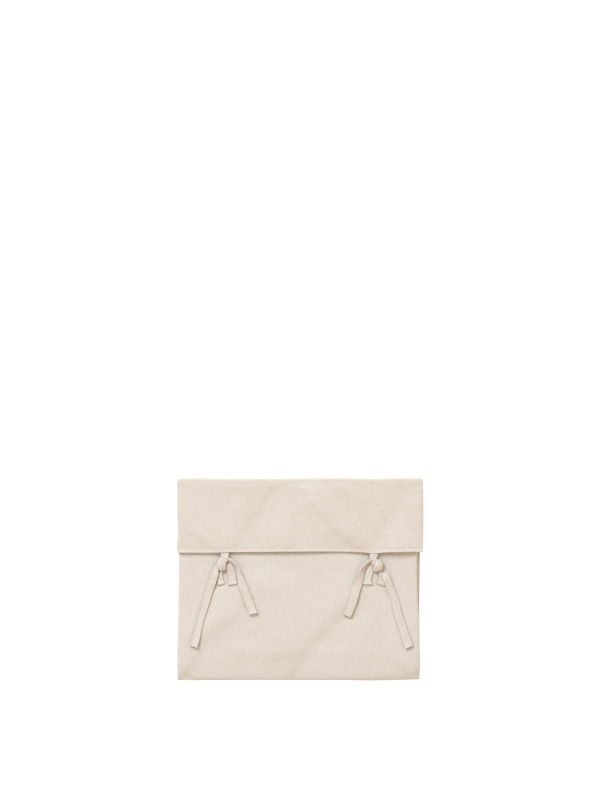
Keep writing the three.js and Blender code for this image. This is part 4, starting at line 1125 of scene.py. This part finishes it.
def canvasFinish(name, tone, grain):
    finish = Finish(name, canvas["surface"])
    cloth = finish.attribute("cloth", "Vector")
    across = finish.node("ShaderNodeSeparateXYZ", {}, [cloth])
    length = across.output(1)
    scale, far = canvas["drift"]
    drift = (finish.noise(cloth, scale, 1.0) - 0.5) * far
    warp = across / canvas["warpPitch"] + drift
    weft = length / canvas["weftPitch"] + drift

    def roundTop(place):        # 0 at a thread's edges, 1 along its middle
        swing = finish.maths("FRACT", place) * 2 - 1
        return 1 - swing * swing

    def over(place, other):        # 1 where a thread is on top, 0 where it dips under
        return finish.maths("COSINE", (place - 0.5 + finish.maths("FLOOR", other)) * math.pi) * 0.5 + 0.5

    dip = canvas["dip"]
    warpTop = roundTop(warp) * (over(weft, warp) * dip + (1 - dip))
    weftTop = roundTop(weft) * ((1 - over(warp, weft)) * dip + (1 - dip))
    weave = finish.maths("MAXIMUM", warpTop, weftTop)

    def slub(warpScale, weftScale, seed):
        place = finish.node("ShaderNodeCombineXYZ", {}, [across * warpScale, length * weftScale, seed])
        return finish.noise(place, 1.0, 2.0, 0.6) * 0.5

    warpSlub, weftSlub = (slub(*row) for row in canvas["slubs"])
    streak = warpSlub + weftSlub
    mottle = finish.noise(cloth, *canvas["mottle"])
    slow = finish.noise(cloth, *canvas["slow"])
    share = canvas["tint"]        # how much each of them counts
    uneven = ((streak - 0.5) * share["streak"] + (mottle - 0.5) * share["mottle"]) * grain
    # painted shade in the weave: paler on the threads' tops, darker in the hollows between them
    tint = uneven + (slow - 0.5) * share["slow"] + weave * share["weave"] + (tone - share["dark"])
    colour = finish.mix(finish.maths("MAXIMUM", tint, 0.0), canvas["colour"], canvas["pale"])
    colour = finish.mix(finish.maths("MAXIMUM", tint * -1.0, 0.0), colour, canvas["shade"])

    def flecks(cell, share, size, seed, strength):        # bits of seed husk in the yarn
        moved = finish.node("ShaderNodeVectorMath", {"operation": "ADD"}, [cloth, (seed, seed * 0.7, 0)])
        cells = finish.node("ShaderNodeTexVoronoi", {"voronoi_dimensions": "2D", "feature": "F1"},
                            {"Vector": moved, "Scale": 1 / cell}, "Distance")
        chance = finish.node("ShaderNodeSeparateColor", {}, [cells.output("Color")])
        away = cells / (chance.output(1) * 0.7 + 0.3)
        near = finish.node("ShaderNodeMapRange", {"interpolation_type": "SMOOTHSTEP"},
                           [away, size, size * canvas["fleckEdge"], 0.0, 1.0])
        picked = finish.maths("LESS_THAN", chance, share)
        return near * picked * (chance.output(2) * 0.6 + 0.3) * strength

    specks = finish.maths("MAXIMUM", *[flecks(*row) for row in canvas["flecks"]])
    colour = finish.mix(specks, colour, canvas["fleck"])
    # painted shade: the browner colour is mixed in as far as the point attribute says
    paintedShade = finish.attribute("paintedShade", "Fac") * canvas["paintedShadeShare"]
    finish.feed("Base Color", finish.mix(paintedShade, colour, canvas["paintedShade"]))
    share = canvas["relief"]
    relief = weave + (streak - 0.5) * share["streak"] + (mottle - 0.5) * share["mottle"]
    bump = {"Strength": 1.0, "Distance": canvas["bump"], "Height": relief}
    finish.feed("Normal", finish.node("ShaderNodeBump", {}, bump))
    return finish.material


cotton = {
    "colour": (0.715, 0.583, 0.476, 1),
    "shade": (0.6149, 0.50138, 0.40936, 1),
    "ply": 2600.0,
    "bump": 0.00004,
    "surface": {"Roughness": 0.7},
}


def cottonFinish():
    finish = Finish("cotton_thread", cotton["surface"])
    ply = finish.noise(finish.attribute("cloth", "Vector"), cotton["ply"], 1.0)
    finish.feed("Base Color", finish.mix(ply, cotton["colour"], cotton["shade"]))
    finish.feed("Normal", finish.node("ShaderNodeBump", {}, {"Distance": cotton["bump"], "Height": ply}))
    return finish.material


panelCanvas, frontCanvas, tieCanvas = (canvasFinish(name, *kind) for name, kind in canvas["kinds"].items())
cottonThread = cottonFinish()
frontPiece.data.materials.append(frontCanvas)
backPiece.data.materials.append(panelCanvas)
for piece in [*tailPieces, *loopPieces, *knotPieces]:
    piece.data.materials.append(tieCanvas)
for piece in threadPieces:
    piece.data.materials.append(cottonThread)
print("finishes are on")


# floor and light: a pale studio, the window at the top left
studio = {
    "floorHalf": 4.0,
    "floorDown": 0.0002,
    "paper": {
        "Base Color": (0.35, 0.35, 0.35, 1),
        "Roughness": 0.9,
        "Specular IOR Level": 0.1,
        "Emission Color": (1, 1, 1, 1),
        "Emission Strength": 0.85,        # the paper is lit from below, so that it stays white
    },
    "sky": {"Color": (1.052, 0.999, 0.915, 1), "Strength": 0.785},
    "window": {"place": (-1.31, 2.83, 2.9), "size": 1.9, "power": 139.0, "colour": (0.740, 1.002, 1.320)},
}


def addFloor():
    half = studio["floorHalf"]
    corners = [(-half, -half, 0), (half, -half, 0), (half, half, 0), (-half, half, 0)]
    mesh = bpy.data.meshes.new("floor")
    mesh.from_pydata(corners, [], [(0, 1, 2, 3)])
    floor = bpy.data.objects.new("floor", mesh)
    floor.location.z = -studio["floorDown"]
    bpy.context.scene.collection.objects.link(floor)
    mesh.materials.append(Finish("floor_paper", studio["paper"]).material)


def addLights():
    world = bpy.data.worlds.new("soft_room")
    world.use_nodes = True
    for key, value in studio["sky"].items():
        world.node_tree.nodes["Background"].inputs[key].default_value = value
    bpy.context.scene.world = world
    spec = studio["window"]
    lamp = bpy.data.lights.new("window", "AREA")
    lamp.shape = "SQUARE"
    lamp.size = spec["size"]
    lamp.energy = spec["power"]
    lamp.color = spec["colour"]
    window = bpy.data.objects.new("window", lamp)
    window.location = spec["place"]
    window.rotation_euler = (-Vector(spec["place"])).to_track_quat("-Z", "Y").to_euler()
    bpy.context.scene.collection.objects.link(window)


addFloor()
addLights()
bpy.context.scene.view_settings.view_transform = "Standard"
print("floor and light are set")
